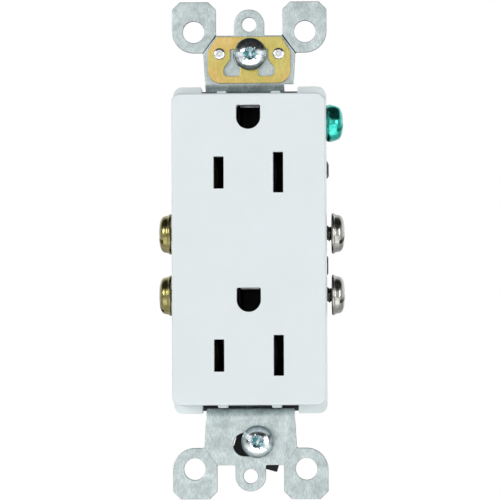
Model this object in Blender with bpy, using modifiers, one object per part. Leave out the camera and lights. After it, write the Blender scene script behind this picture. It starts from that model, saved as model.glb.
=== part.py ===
"""Duplex wall outlet in the decorator style: a white cover and a black rear body clamp a folded
steel strap between them. Brass strips in the body grip the plug blades, and screws on the body's
sides hold the wires.

Lengths are in millimetres, and MM turns them into Blender's metres where a mesh is made.
X runs to the right as the outlet is seen from the room, Y runs into the wall and Z runs up.
The origin is the centre of the mounting screw pattern, on the strap's rear face (the wall plane).
"""

import math

import bmesh
import bpy
from mathutils import Matrix, Vector

MM = 0.001

# Driving dimensions of the standard that the outlet is built to.
MOUNT_PITCH = 83.3  # between the two mounting screws
PLATE_PITCH = 96.8  # between the two wall-plate screws
OUTLET_PITCH = 39.0  # between the two sets of slots
BLADE_PITCH = 12.7  # between the hot and the neutral slot
PIN_ABOVE = 11.85  # ground pin above the middle of its slots

# Levels along Y.
FACE_Y = -7.2
COVER_REAR_Y = 3.2
BODY_FRONT_Y = 3.5
BODY_REAR_Y = 22.4
SCREW_Y = 8.0  # axis of every wire terminal screw

# Cover.
FACE_HALF_W = 16.4
FACE_HALF_H = 33.25
FACE_CORNER = 1.9
FLANGE_HALF_H = 35.0
FLANGE_INNER_X = 10.3
FLANGE_FRONT_Y = -1.0
FACE_WALL = 2.2
SIDE_WALL = 1.5
END_REAR_Y = 1.2  # rear edge of the end walls, over the strap
GUARD_X = 16.6  # the body's guards stand a little proud of the cover's sides
SLOT_WIDTH = 2.2
HOT_SLOT = 6.9
NEUTRAL_SLOT = 8.7
PIN_RADIUS = 2.6

# Strap, a steel sheet.
SHEET = 1.2
BEND_IN = 0.8  # radius on the inside of a bend
BEND_MID = BEND_IN + SHEET / 2
ARC = BEND_MID * math.pi / 2  # length of sheet in a right-angle bend
STEP_LEG = 0.4  # straight sheet between the two bends of the step
RAIL_Y = 2.0  # front face of the strap between cover and body
RAIL_END = 33.1  # where the inner bend starts
PLATE_START = 35.9  # where the outer bend ends
FLAT_EXTRA = 2 * ARC + STEP_LEG - (PLATE_START - RAIL_END)  # blank longer than the folded strap
STRAP_HALF_W = 9.5
SHOULDER_HALF_W = 9.9  # where the ears leave the strap
PLATE_EDGE = 46.05
LUG_RADIUS = 3.25
LUG_HOLE_R = 1.55
MOUNT_SLOT_HALF = {1: 3.3, -1: 3.75}  # half length of the upper and the lower slot
MOUNT_SLOT_R = 2.45
EAR = dict(inner=7.15, outer=16.6, low=42.35, high=53.3, chamfer=1.65, corner=4.65)
EAR_HOLE = (11.95, 46.85, 2.33)
SCORE_DEPTH = {1: 0.2, -1: 0.1}
TAB_OUTER_X = 16.1  # outer face of the ground tab
TAB_DEPTH = 8.6  # straight part of the ground tab

# Where things are along Z.
SLOT_MID_Z = -3.2
SLOT_Z = (SLOT_MID_Z + OUTLET_PITCH / 2, SLOT_MID_Z - OUTLET_PITCH / 2)
PIN_Z = tuple(z + PIN_ABOVE for z in SLOT_Z)
TERMINAL_RISE = 0.4  # the terminals' middle above the slots'
TERMINAL_Z = (SLOT_MID_Z + TERMINAL_RISE + 6.64, SLOT_MID_Z + TERMINAL_RISE - 6.64)
GROUND_SCREW_Z = 27.68
RIVET_BELOW = 6.6  # ground contact's rivet below its pin
ASSEMBLY_Z = (6.0, -28.6)
MOUNT_Z = MOUNT_PITCH / 2
LUG_Z = PLATE_PITCH / 2

# Screws.
THREAD_R = 1.75
HOLE_R = 1.95
TERMINAL_HEAD_X = 17.3  # underside of a backed-out terminal screw's head
MOUNT_SCREW_TOP = (0.28, -2.4, 41.95)  # underside of the head, on its axis
MOUNT_SCREW_BOTTOM = (1.55, -2.1, -41.05)
RETAINER_Y = 2.6
RETAINER_TURN = 16.0

# Brass parts.
STRIP = 0.8
STRIP_Y = (4.2, 12.4)
LEAF_FRONT_Y = 0.8  # the blade contacts reach forward into the cover
PLATE_X = 14.2  # middle of the terminal plate's thickness
LEAF_OUTER_X = 7.75
LEAF_INNER_X = 4.95
STRIP_HALF_Z = 12.8  # terminal plate to each side of the middle
FIN_REACH = 2.9  # the break-off fin lies within this of the terminals' middle
HAIRPIN_Z = 17.0  # where a hairpin's straight leaves end, past the strip's end, less its turn
CLIP_SHEET = 0.5
CLIP_REAR_Y = -1.3

ROUND = 24  # sides of a round piece


# ---------------------------------------------------------------- scene, materials and placing

for old in list(bpy.data.objects):
    bpy.data.objects.remove(old)

parts = bpy.data.collections.new("duplex_wall_outlet")
bpy.context.scene.collection.children.link(parts)
cutters = bpy.data.collections.new("cutters")
bpy.context.scene.collection.children.link(cutters)


def material(name, colour, metallic, roughness):
    made = bpy.data.materials.new(name)
    made.use_nodes = True
    shader = made.node_tree.nodes["Principled BSDF"]
    shader.inputs["Base Color"].default_value = (*colour, 1.0)
    shader.inputs["Metallic"].default_value = metallic
    shader.inputs["Roughness"].default_value = roughness
    return made


WHITE_PLASTIC = material("white_plastic", (0.78, 0.80, 0.81), 0.0, 0.35)
BLACK_PLASTIC = material("black_plastic", (0.015, 0.015, 0.016), 0.0, 0.45)
ZINC_STEEL = material("zinc_steel", (0.62, 0.65, 0.66), 1.0, 0.38)
BRIGHT_STEEL = material("bright_steel", (0.75, 0.78, 0.80), 1.0, 0.18)
BRASS = material("brass", (0.80, 0.62, 0.25), 1.0, 0.3)
NICKEL = material("nickel", (0.66, 0.64, 0.60), 1.0, 0.22)
GREEN_SCREW = material("green_screw", (0.0, 0.30, 0.24), 0.6, 0.3)
BLACK_FIBRE = material("black_fibre", (0.02, 0.02, 0.02), 0.0, 0.8)


def add(name, mesh, look, place=None):
    """A named part, with its mesh in metres."""
    made = bpy.data.objects.new(name, mesh)
    parts.objects.link(made)
    mesh.materials.append(look)
    if place is not None:
        made.matrix_world = place
    return made


def helper(name, mesh, group, place=None):
    """A shape that cuts or joins a part and isn't one itself."""
    made = bpy.data.objects.new(name, mesh)
    group.objects.link(made)
    made.hide_render = True
    made.display_type = "WIRE"
    if place is not None:
        made.matrix_world = place
    return made


def helper_group(name):
    group = bpy.data.collections.new(name)
    group.hide_render = True
    cutters.children.link(group)
    return group


def at(location, facing):
    """The matrix that stands a piece's own +Z along facing, at location."""
    turn = Vector((0, 0, 1)).rotation_difference(Vector(facing)).to_matrix().to_4x4()
    return Matrix.Translation(Vector(location) * MM) @ turn


def boolean(piece, operation, group):
    made = piece.modifiers.new(group.name, "BOOLEAN")
    made.operation = operation
    made.operand_type = "COLLECTION"
    made.collection = group
    made.solver = "EXACT"
    return made


def shade(mesh, degrees=30):
    mesh.shade_smooth()
    mesh.set_sharp_from_angle(angle=math.radians(degrees))


# ---------------------------------------------------------------- basic shapes


def box_mesh(name, x, y, z, rear_scale=(1.0, 1.0)):
    """A box between two corners. Its rear face (+Y) can be scaled, for draft."""
    bm = bmesh.new()
    bmesh.ops.create_cube(bm, size=1.0)
    for v in bm.verts:
        sx, sz = rear_scale if v.co.y > 0 else (1.0, 1.0)
        v.co = Vector(
            (
                (sum(x) / 2 + v.co.x * (x[1] - x[0]) * sx) * MM,
                (sum(y) / 2 + v.co.y * (y[1] - y[0])) * MM,
                (sum(z) / 2 + v.co.z * (z[1] - z[0]) * sz) * MM,
            )
        )
    mesh = bpy.data.meshes.new(name)
    bm.to_mesh(mesh)
    bm.free()
    return mesh


def rod_mesh(name, radius, length, sides=ROUND, end_radius=None):
    """A round bar or cone from the origin along +Z."""
    bm = bmesh.new()
    bmesh.ops.create_cone(
        bm,
        cap_ends=True,
        segments=sides,
        radius1=radius * MM,
        radius2=(radius if end_radius is None else end_radius) * MM,
        depth=length * MM,
        matrix=Matrix.Translation((0, 0, length / 2 * MM)),
    )
    mesh = bpy.data.meshes.new(name)
    bm.to_mesh(mesh)
    bm.free()
    return mesh


def arc(cx, cy, radius, start, end, steps):
    """Points on an arc, angles in degrees."""
    turns = [math.radians(start + (end - start) * k / steps) for k in range(steps + 1)]
    return [(cx + radius * math.cos(a), cy + radius * math.sin(a)) for a in turns]


def circle(cx, cy, radius, sides=ROUND):
    return arc(cx, cy, radius, 0, 360, sides)[:-1]


def slot_outline(cx, cy, half_length, radius, steps=8):
    """A slot with round ends, along the first axis."""
    run = half_length - radius
    right = arc(cx + run, cy, radius, -90, 90, steps)
    return right + arc(cx - run, cy, radius, 90, 270, steps)


def flat_mesh(name, outlines, thickness, matrix=None):
    """A sheet of this thickness whose middle is its own XY plane. Inner outlines are holes."""
    curve = bpy.data.curves.new(name, "CURVE")
    curve.dimensions = "2D"
    curve.fill_mode = "BOTH"
    curve.extrude = thickness / 2 * MM
    for outline in outlines:
        spline = curve.splines.new("POLY")
        spline.points.add(len(outline) - 1)
        for point, (u, v) in zip(spline.points, outline):
            point.co = (u * MM, v * MM, 0, 1)
        spline.use_cyclic_u = True
    drawn = bpy.data.objects.new(name + "_outline", curve)
    bpy.context.scene.collection.objects.link(drawn)
    graph = bpy.context.evaluated_depsgraph_get()
    mesh = bpy.data.meshes.new_from_object(drawn.evaluated_get(graph))
    bpy.data.objects.remove(drawn)
    bpy.data.curves.remove(curve)
    bm = bmesh.new()
    bm.from_mesh(mesh)
    bmesh.ops.remove_doubles(bm, verts=bm.verts, dist=1e-7)
    if matrix is not None:
        bmesh.ops.transform(bm, matrix=matrix, verts=bm.verts)
    bmesh.ops.recalc_face_normals(bm, faces=bm.faces)
    bm.to_mesh(mesh)
    bm.free()
    mesh.name = name
    return mesh


# A sheet drawn in XY stands upright in XZ, and its front (-Y) is its own +Z.
UPRIGHT = Matrix.Rotation(math.radians(90), 4, "X")


def rounded(points, radius, steps=3):
    """A polyline with each inner corner replaced by an arc."""
    out = [Vector(points[0])]
    for before, corner, after in zip(points, points[1:], points[2:]):
        corner = Vector(corner)
        back = (Vector(before) - corner).normalized()
        ahead = (Vector(after) - corner).normalized()
        half = back.angle(ahead) / 2
        reach = radius / math.tan(half)
        centre = corner + (back + ahead).normalized() * (radius / math.sin(half))
        first, last = corner + back * reach - centre, corner + ahead * reach - centre
        sweep = first.angle(last)
        for k in range(steps + 1):
            t = k / steps
            mixed = first * math.sin((1 - t) * sweep) + last * math.sin(t * sweep)
            out.append(centre + mixed / math.sin(sweep))
    return out + [Vector(points[-1])]


def ribbon_mesh(name, path, width, plane):
    """The open surface that a path sweeps across width. plane "XZ" sweeps along Y, "XY" along Z."""
    bm = bmesh.new()
    rows = []
    for a, b in path:
        low, high = (
            ((a, width[0], b), (a, width[1], b))
            if plane == "XZ"
            else ((a, b, width[0]), (a, b, width[1]))
        )
        rows.append([bm.verts.new(Vector(p) * MM) for p in (low, high)])
    for (a, b), (c, d) in zip(rows, rows[1:]):
        bm.faces.new((a, b, d, c))
    mesh = bpy.data.meshes.new(name)
    bm.to_mesh(mesh)
    bm.free()
    return mesh


def thicken(piece, thickness):
    made = piece.modifiers.new("sheet", "SOLIDIFY")
    made.thickness = thickness * MM
    made.offset = 0
    made.use_even_offset = True


def turned_mesh(name, profile):
    """The outline that a Screw modifier turns about Z: (radius, height) from top to bottom."""
    mesh = bpy.data.meshes.new(name)
    points = [(r * MM, 0, h * MM) for r, h in profile]
    mesh.from_pydata(points, [(k, k + 1) for k in range(len(points) - 1)], [])
    return mesh


def turn(piece, sides=ROUND):
    made = piece.modifiers.new("turn", "SCREW")
    made.steps = made.render_steps = sides
    made.use_merge_vertices = True
    made.merge_threshold = 0.00001
    made.use_smooth_shade = False


# ---------------------------------------------------------------- folding sheet metal


def fold(mesh, axis, start, bend, degrees, side=1, up=1, reach=None, steps=4):
    """Folds a sheet that lies in XZ, from X or Z = start outwards, about a bend of that middle
    radius. side is +1 or -1 for the end that folds. up is +1 to fold towards +Y. reach limits the
    fold to points whose other coordinate is within it."""
    along, across = ("XYZ".index(axis), 2 if axis == "X" else 0)
    length = math.radians(degrees) * bend * MM
    start, bend = start * MM, bend * MM
    angle = math.radians(degrees)
    middle = sheet_middle[mesh.name]
    for v in mesh.vertices:
        run = side * v.co[along] - start
        if run <= 0 or (reach and not reach[0] * MM <= v.co[across] <= reach[1] * MM):
            continue
        lift = up * (v.co.y - middle)
        if run <= length:
            turned = run / bend
            forward = (bend - lift) * math.sin(turned)
            rise = bend - (bend - lift) * math.cos(turned)
        else:
            rest = run - length
            forward = rest * math.cos(angle) - (lift - bend) * math.sin(angle)
            rise = rest * math.sin(angle) + (lift - bend) * math.cos(angle) + bend
        v.co[along] = side * (start + forward)
        v.co.y = middle + up * rise


sheet_middle = {}


def score(mesh, axis, places):
    """Cuts edges across a flat sheet at these places, where it will bend."""
    along = "XYZ".index(axis)
    normal = Vector([float(k == along) for k in range(3)])
    bm = bmesh.new()
    bm.from_mesh(mesh)
    for place in places:
        everything = bm.verts[:] + bm.edges[:] + bm.faces[:]
        bmesh.ops.bisect_plane(
            bm, geom=everything, dist=1e-7, plane_co=normal * place * MM, plane_no=normal
        )
    bm.to_mesh(mesh)
    bm.free()


def bend_places(start, bend, degrees, steps=4):
    length = math.radians(degrees) * bend
    return [start + length * k / steps for k in range(steps + 1)]


def merge_flats(mesh):
    """Joins the flat faces that scoring left in pieces."""
    bm = bmesh.new()
    bm.from_mesh(mesh)
    bmesh.ops.dissolve_limit(
        bm, angle_limit=math.radians(0.2), verts=bm.verts, edges=bm.edges
    )
    bmesh.ops.triangulate(bm, faces=[f for f in bm.faces if len(f.verts) > 4])
    bm.to_mesh(mesh)
    bm.free()


def stamped(name, outlines, thickness, middle_y):
    """A flat blank in XZ whose thickness is centred on Y = middle_y."""
    lift = Matrix.Translation((0, middle_y * MM, 0))
    mesh = flat_mesh(name, outlines, thickness, lift @ UPRIGHT)
    sheet_middle[mesh.name] = middle_y * MM
    return mesh


# ---------------------------------------------------------------- cover


def ground_pin_outline(z, grow=0.0):
    """A D on its back: flat on top, round below."""
    radius = PIN_RADIUS + grow
    low = arc(0, z, radius, 180, 360, 12)
    return low + [(radius, z + radius), (-radius, z + radius)]


def upright_prism(name, group, outline, y):
    """A prism between two levels of Y, from an outline in XZ."""
    middle = Matrix.Translation((0, sum(y) / 2 * MM, 0))
    mesh = flat_mesh(name, [outline], y[1] - y[0], middle @ UPRIGHT)
    return helper(name, mesh, group)


def box_helper(name, group, x, y, z):
    return helper(name, box_mesh(name, x, y, z), group)


def blade_slots():
    """(name, x, z, length) of each blade slot."""
    for level, z in zip(("upper", "lower"), SLOT_Z):
        yield f"hot_{level}", -BLADE_PITCH / 2, z, HOT_SLOT
        yield f"neutral_{level}", BLADE_PITCH / 2, z, NEUTRAL_SLOT


def cover():
    across, up = FACE_HALF_W - FACE_CORNER, FACE_HALF_H - FACE_CORNER
    outline = arc(across, up, FACE_CORNER, 0, 90, 6) + arc(-across, up, FACE_CORNER, 90, 180, 6)
    outline += arc(-across, -up, FACE_CORNER, 180, 270, 6)
    outline += arc(across, -up, FACE_CORNER, 270, 360, 6)
    mesh = flat_mesh("front_cover", [outline], COVER_REAR_Y - FACE_Y)
    mesh.transform(Matrix.Translation((0, (FACE_Y + COVER_REAR_Y) / 2 * MM, 0)) @ UPRIGHT)
    piece = add("front_cover", mesh, WHITE_PLASTIC)
    edge = piece.modifiers.new("round_edges", "BEVEL")
    edge.width = 0.5 * MM
    edge.segments = 2
    edge.limit_method = "ANGLE"

    flanges = helper_group("cover_flanges")
    for sx in (-1, 1):
        for sz in (-1, 1):
            outer = FACE_HALF_W
            name = f"flange_{'left' if sx < 0 else 'right'}_{'low' if sz < 0 else 'high'}"
            top = [(FLANGE_INNER_X + 0.25, FLANGE_HALF_H), (outer, FLANGE_HALF_H)]
            outline = [(FLANGE_INNER_X, FACE_HALF_H - 1.2), (FLANGE_INNER_X, FLANGE_HALF_H - 0.4)]
            outline += rounded(top + [(outer, FACE_HALF_H - 2.6)], FACE_CORNER)
            outline = [(sx * x, sz * z) for x, z in outline]
            upright_prism(name, flanges, outline, (FLANGE_FRONT_Y, COVER_REAR_Y - 0.02))
    boolean(piece, "UNION", flanges)

    hollow = helper_group("cover_hollow")
    inner_x, inner_z = FACE_HALF_W - SIDE_WALL, FACE_HALF_H - SIDE_WALL
    box_helper(
        "inside", hollow, (-inner_x, inner_x), (FACE_Y + FACE_WALL, 6), (-inner_z, inner_z)
    )
    for sz in (-1, 1):
        span = sorted((sz * (inner_z - 1), sz * 40))
        box_helper(f"strap_gate_{sz}", hollow, (-10.0, 10.0), (END_REAR_Y, 6), span)
    box_helper("ground_tab_gate", hollow, (inner_x - 1, 20), (RAIL_Y - 0.3, 6), (23.0, 31.6))
    boolean(piece, "DIFFERENCE", hollow)

    posts = helper_group("cover_posts")
    root = FACE_Y + FACE_WALL - 0.4  # posts start inside the face wall
    for level, z in zip(("upper", "lower"), ASSEMBLY_Z):
        boss = rod_mesh(f"boss_{level}", 3.0, RAIL_Y - 0.3 - root)
        helper(f"boss_{level}", boss, posts, at((0, root, z), (0, 1, 0)))
    for sz in (-1, 1):
        for sx in (-1, 1):
            x = (sx * 5.75 - 1.0, sx * 5.75 + 1.0)
            z = sorted((sz * (FACE_HALF_H - 0.6), sz * (FACE_HALF_H + 0.5)))
            box_helper(f"rib_{sx}_{sz}", posts, x, (FACE_Y + 2.4, END_REAR_Y - 0.25), z)
    boolean(piece, "UNION", posts)

    openings = helper_group("cover_openings")
    for name, x, z, length in blade_slots():
        half_x, half_z = SLOT_WIDTH / 2, length / 2
        box_helper(
            f"slot_{name}", openings, (x - half_x, x + half_x), (-9, 6), (z - half_z, z + half_z)
        )
    for level, z in zip(("upper", "lower"), PIN_Z):
        upright_prism(f"pin_hole_{level}", openings, ground_pin_outline(z), (-9, 6))
    for level, z in zip(("upper", "lower"), ASSEMBLY_Z):
        pilot = rod_mesh(f"pilot_{level}", 1.25, 12)
        helper(f"pilot_{level}", pilot, openings, at((0, FACE_Y + 1.4, z), (0, 1, 0)))
    boolean(piece, "DIFFERENCE", openings)


# ---------------------------------------------------------------- rear body


def body():
    draft = (15.0 / 15.9, 1.0)
    mesh = box_mesh("back_body", (-15.9, 15.9), (BODY_FRONT_Y, BODY_REAR_Y), (-34.4, 34.4), draft)
    piece = add("back_body", mesh, BLACK_PLASTIC)
    edge = piece.modifiers.new("round_edges", "BEVEL")
    edge.width = 0.9 * MM
    edge.segments = 2
    edge.limit_method = "ANGLE"

    outside = helper_group("body_outside")
    slope = math.atan2(2.2, 9.0)
    for sz in (-1, 1):
        wedge = box_mesh(f"end_slope_{sz}", (-20, 20), (-30, 30), (0, 20))
        place = Matrix.Translation(Vector((0, 13.4, sz * 34.5)) * MM)
        lean = Matrix.Rotation(-sz * slope, 4, "X")
        if sz < 0:
            lean = lean @ Matrix.Rotation(math.pi, 4, "Y")
        helper(f"end_slope_{sz}", wedge, outside, place @ lean)
    low, high = SLOT_MID_Z - 18.0, SLOT_MID_Z + 18.0
    box_helper("neutral_bay", outside, (13.3, 20), (0, 14.0), (low, high))
    box_helper("hot_bay", outside, (-20, -13.3), (0, 14.0), (low, high))
    box_helper("ground_bay", outside, (13.3, 20), (0, 14.0), (19.2, 40))
    boolean(piece, "DIFFERENCE", outside)

    barriers = helper_group("body_barriers")
    guards = [("hot_fin_guard", -1, 5.4, SLOT_MID_Z, 2.3)]
    guards += [("neutral_fin_guard", 1, 5.4, SLOT_MID_Z, 2.3), ("ground_barrier", 1, 11.8, 17.7, 1.85)]
    for name, sx, rear, z, half in guards:
        outline = [(12.6, -half), (16.2, -half), (GUARD_X, 0.6 - half), (GUARD_X, half - 0.6)]
        outline += [(16.2, half), (12.6, half)]
        outline = [(sx * x, z + along) for x, along in outline]
        upright_prism(name, barriers, outline, (BODY_FRONT_Y, rear))
    boolean(piece, "UNION", barriers)

    inside = helper_group("body_inside")
    floor = BODY_REAR_Y - 2.0
    for side, sx in (("hot", -1), ("neutral", 1)):
        x = sorted((sx * 4.35, sx * 11.8))
        box_helper(f"{side}_cavity", inside, x, (0, floor), (SLOT_MID_Z - 26.4, SLOT_MID_Z + 26.4))
        box_helper(f"{side}_end_pocket", inside, x, (0, 14.0), (24.4, 32.4))
        for level, end in (("upper", 1), ("lower", -1)):
            z = SLOT_MID_Z + end * STRIP_HALF_Z
            x_slit = sorted((sx * 11, sx * 16))
            box_helper(f"{side}_slit_{level}", inside, x_slit, (0, 12.9), (z - 0.8, z + 0.8))
        for level, z in zip(("upper", "lower"), TERMINAL_Z):
            x_window = sorted((sx * 11, sx * 13.9))
            box_helper(f"{side}_window_{level}", inside, x_window, (4.9, 15.4), (z - 2.6, z + 2.6))
            tunnel = rod_mesh(f"{side}_push_in_{level}", 1.15, 12)
            helper(
                f"{side}_push_in_{level}", tunnel, inside, at((sx * 12.9, 12.0, z), (0, 1, 0))
            )
            lead_in = rod_mesh(f"{side}_lead_in_{level}", 0.4, 2.0, end_radius=2.4)
            helper(
                f"{side}_lead_in_{level}",
                lead_in,
                inside,
                at((sx * 12.9, BODY_REAR_Y - 1.2, z), (0, 1, 0)),
            )
            x_release = sorted((sx * 9.4, sx * 10.5))
            box_helper(f"{side}_release_{level}", inside, x_release, (18, 24), (z - 1.6, z + 1.6))
    z = GROUND_SCREW_Z
    box_helper("ground_screw_window", inside, (11, 14), (5.4, 10.6), (z - 2.5, z + 2.5))
    for level, z in zip(("upper", "lower"), PIN_Z):
        box_helper(f"pin_channel_{level}", inside, (-3.65, 3.65), (0, 15.5), (z - 9.6, z + 3.9))
    for level, z in zip(("upper", "lower"), ASSEMBLY_Z):
        bore = rod_mesh(f"screw_bore_{level}", 1.75, 30)
        helper(f"screw_bore_{level}", bore, inside, at((0, 0, z), (0, 1, 0)))
        seat = rod_mesh(f"screw_seat_{level}", 3.1, 10)
        helper(f"screw_seat_{level}", seat, inside, at((0, BODY_REAR_Y - 3.0, z), (0, 1, 0)))
    gauge = slot_outline(0, 0, 7.95, 0.9, steps=5)
    gauge = [(v + 7.6, u + 19.4) for u, v in gauge]
    upright_prism("strip_gauge", inside, gauge, (BODY_REAR_Y - 0.5, BODY_REAR_Y + 2))
    boolean(piece, "DIFFERENCE", inside)


# ---------------------------------------------------------------- strap


def ear_outline():
    """The right upper ear and half of the wall-plate lug, from the strap's side to its middle."""
    low, high, cut, radius = EAR["low"], EAR["high"], EAR["chamfer"], EAR["corner"]
    points = [(SHOULDER_HALF_W, low)]
    points += arc(EAR["outer"] - radius, low + radius, radius, -90, 0, 6)
    points += [(EAR["outer"], high - cut), (EAR["outer"] - cut, high)]
    points += [(EAR["inner"] + cut, high), (EAR["inner"], high - cut)]
    points += [(EAR["inner"], PLATE_EDGE), (LUG_RADIUS, PLATE_EDGE)]
    points += arc(0, LUG_Z, LUG_RADIUS, 0, 90, 6)
    return [(x, z + FLAT_EXTRA) for x, z in points]


def score_lines(piece):
    """V grooves across the ears' necks, where the ears are broken off on a hollow wall."""
    cuts = helper_group("ear_score_lines")
    across, up = SHOULDER_HALF_W - EAR["inner"], EAR["low"] - PLATE_EDGE
    half = math.hypot(across, up) / 2 + 0.8
    middle_x = (SHOULDER_HALF_W + EAR["inner"]) / 2
    middle_z = (EAR["low"] + PLATE_EDGE) / 2
    for sz in (-1, 1):
        size = SCORE_DEPTH[sz] / math.sqrt(2)
        for sx in (-1, 1):
            name = f"score_{'left' if sx < 0 else 'right'}_{'low' if sz < 0 else 'high'}"
            mesh = box_mesh(name, (-half, half), (-size, size), (-size, size))
            place = Matrix.Translation(Vector((sx * middle_x, -SHEET, sz * middle_z)) * MM)
            lean = Matrix.Rotation(-sx * sz * math.atan2(up, across), 4, "Y")
            helper(name, mesh, cuts, place @ lean @ Matrix.Rotation(math.radians(45), 4, "X"))
    boolean(piece, "DIFFERENCE", cuts)


def strap():
    bend_end = RAIL_END + ARC + 0.2
    tab_start = TAB_OUTER_X - SHEET - BEND_IN
    tab_end = tab_start + ARC + TAB_DEPTH
    plate = PLATE_START + FLAT_EXTRA
    ear = ear_outline()
    pad = [(6.4, 32.2), (6.4, bend_end)]
    right_top = (
        [(2.9, 22.0), (5.2, 24.3), (9.5, 24.3), (10.5, 23.4), (tab_end - 1, 23.4)]
        + [(tab_end, 24.4), (tab_end, 30.2), (tab_end - 1, 31.2), (8.0, 31.2)]
        + pad
        + [(7.5, bend_end), (7.5, plate - 0.3), (STRAP_HALF_W, plate - 0.3)]
        + ear
    )
    shoulder = [(STRAP_HALF_W - 0.1, bend_end), (STRAP_HALF_W, plate)]
    left_top = [(2.9, 22.0), (5.2, 24.3), (5.2, 31.0)] + pad + shoulder + ear
    bottom = [(2.9, 29.6)] + [(6.4, 31.4), (6.4, bend_end)] + shoulder + ear
    ring = [(2.9, -5.1), (5.2, -7.4), (5.2, -14.3), (2.9, -16.6)]
    outline = (
        right_top
        + [(-x, z) for x, z in reversed(left_top[:-1] if left_top[-1][0] < 1e-6 else left_top)]
        + [(-x, z) for x, z in ring]
        + [(-x, -z) for x, z in bottom[:-1]]
        + [(x, -z) for x, z in reversed(bottom)]
        + list(reversed(ring))
    )
    holes = [circle(0, z, 3.9) for z in PIN_Z]
    holes += [circle(0, z - RIVET_BELOW, 1.4, 16) for z in PIN_Z]
    holes += [circle(0, z, 1.75, 16) for z in ASSEMBLY_Z]
    screw_along = tab_start + ARC + SCREW_Y - (RAIL_Y + SHEET + BEND_IN)
    holes += [circle(screw_along, GROUND_SCREW_Z, HOLE_R)]
    for end in (-1, 1):
        holes += [circle(0, end * (LUG_Z + FLAT_EXTRA), LUG_HOLE_R, 20)]
        slot_z = end * (MOUNT_Z + FLAT_EXTRA)
        holes += [slot_outline(0, slot_z, MOUNT_SLOT_HALF[end], MOUNT_SLOT_R)]
        for side in (-1, 1):
            x, z, radius = EAR_HOLE
            holes += [circle(side * x, end * (z + FLAT_EXTRA), radius)]
    for side in (-1, 1):
        holes += [circle(side * 6.35, 42.05 + FLAT_EXTRA, 0.85, 16)]

    mesh = stamped("mounting_strap", [outline] + holes, SHEET, RAIL_Y + SHEET / 2)
    inner = bend_places(RAIL_END, BEND_MID, 90)
    outer = bend_places(RAIL_END + ARC + STEP_LEG, BEND_MID, 90)
    score(mesh, "Z", [side * p for side in (-1, 1) for p in inner + outer])
    score(mesh, "X", bend_places(tab_start, BEND_MID, 90))
    fold(mesh, "X", tab_start, BEND_MID, 90, reach=(20, 32))
    for side in (-1, 1):
        # The outer bend turns the plate back to the wall plane, so it is folded first.
        fold(mesh, "Z", RAIL_END + ARC + STEP_LEG, BEND_MID, 90, side=side, up=1)
        fold(mesh, "Z", RAIL_END, BEND_MID, 90, side=side, up=-1)
    merge_flats(mesh)
    piece = add("mounting_strap", mesh, ZINC_STEEL)
    score_lines(piece)


def self_grounding_clip():
    """Brass plate on the strap's upper end, with a finger that presses on the mounting screw."""
    outer = [(-6.95, 45.75), (-8.85, 42.6)] + arc(-6.1, 38.5, 2.75, 180, 270, 5)
    outer += arc(6.1, 38.5, 2.75, 270, 360, 5) + [(8.85, 42.6), (6.95, 45.75)]
    half = [(2.05, 37.3), (4.9, 37.3), (5.5, 37.9), (5.5, 38.9), (4.05, 41.0), (4.05, 43.1)]
    half += [(2.9, 43.1), (2.0, 44.3)]
    window = half + [(-x, z) for x, z in reversed(half)] + [(-1.8, 39.6), (1.8, 39.6)]
    rivets = [circle(side * 6.35, 42.05, 0.85, 16) for side in (-1, 1)]
    middle = CLIP_REAR_Y - CLIP_SHEET / 2
    mesh = stamped("self_grounding_clip", [outer, window] + rivets, CLIP_SHEET, middle)
    add("self_grounding_clip", mesh, BRASS)


# ---------------------------------------------------------------- contacts


def contact_strip(name, sx, look):
    """One strip for both outlets: terminal plate with a break-off fin, and a hairpin at each end."""
    end, mid = STRIP_HALF_Z, SLOT_MID_Z
    turn_r = (LEAF_OUTER_X - LEAF_INNER_X) / 2
    leaf_end = HAIRPIN_Z + 6.0
    half = [(PLATE_X, 0.0), (PLATE_X, end), (LEAF_OUTER_X, end), (LEAF_OUTER_X, end + 2.0)]
    half += [(LEAF_OUTER_X - 0.55, end + 6.4), (LEAF_OUTER_X, end + 10.0), (LEAF_OUTER_X, leaf_end)]
    half = rounded(half, 0.9)[1:]
    centre_x = LEAF_OUTER_X - turn_r
    half += [Vector(p) for p in arc(centre_x, leaf_end, turn_r, 0, 180, 8)][1:]
    back = [(LEAF_INNER_X, leaf_end), (LEAF_INNER_X + 0.45, end + 6.4), (LEAF_INNER_X, end + 2.8)]
    half += rounded(back, 0.9)[1:]
    fin = [(PLATE_X, 2.0), (PLATE_X + 1.3, 1.4), (PLATE_X + 1.3, 0.0)]
    fin = list(reversed(rounded(fin, 0.4)[:-1]))
    upper = [Vector((x, z)) for x, z in fin] + half
    path = [Vector((x, -z)) for x, z in reversed(upper)] + upper
    path = [(sx * x, mid + z + (TERMINAL_RISE if abs(z) < FIN_REACH else 0)) for x, z in path]
    mesh = ribbon_mesh(name, path, (LEAF_FRONT_Y, STRIP_Y[1]), "XZ")
    piece = add(name, mesh, look)
    thicken(piece, STRIP)
    cuts = helper_group(f"{name}_cuts")
    outside_leaves = sorted((sx * (LEAF_OUTER_X + 1.1), sx * 20))
    front = (LEAF_FRONT_Y - 1, STRIP_Y[0])
    box_helper(f"{name}_step", cuts, outside_leaves, front, (mid - 30, mid + 30))
    for level, z in zip(("upper", "lower"), TERMINAL_Z):
        drill = rod_mesh(f"{name}_hole_{level}", HOLE_R, 6)
        helper(f"{name}_hole_{level}", drill, cuts, at((sx * 12, SCREW_Y, z), (sx, 0, 0)))
    x = sorted((sx * 12, sx * 18))
    for edge, y in (("front", (0, 6.3)), ("rear", (9.7, 20))):
        z = (mid + TERMINAL_RISE - FIN_REACH, mid + TERMINAL_RISE + FIN_REACH)
        box_helper(f"{name}_fin_{edge}", cuts, x, y, z)
    boolean(piece, "DIFFERENCE", cuts)


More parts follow.
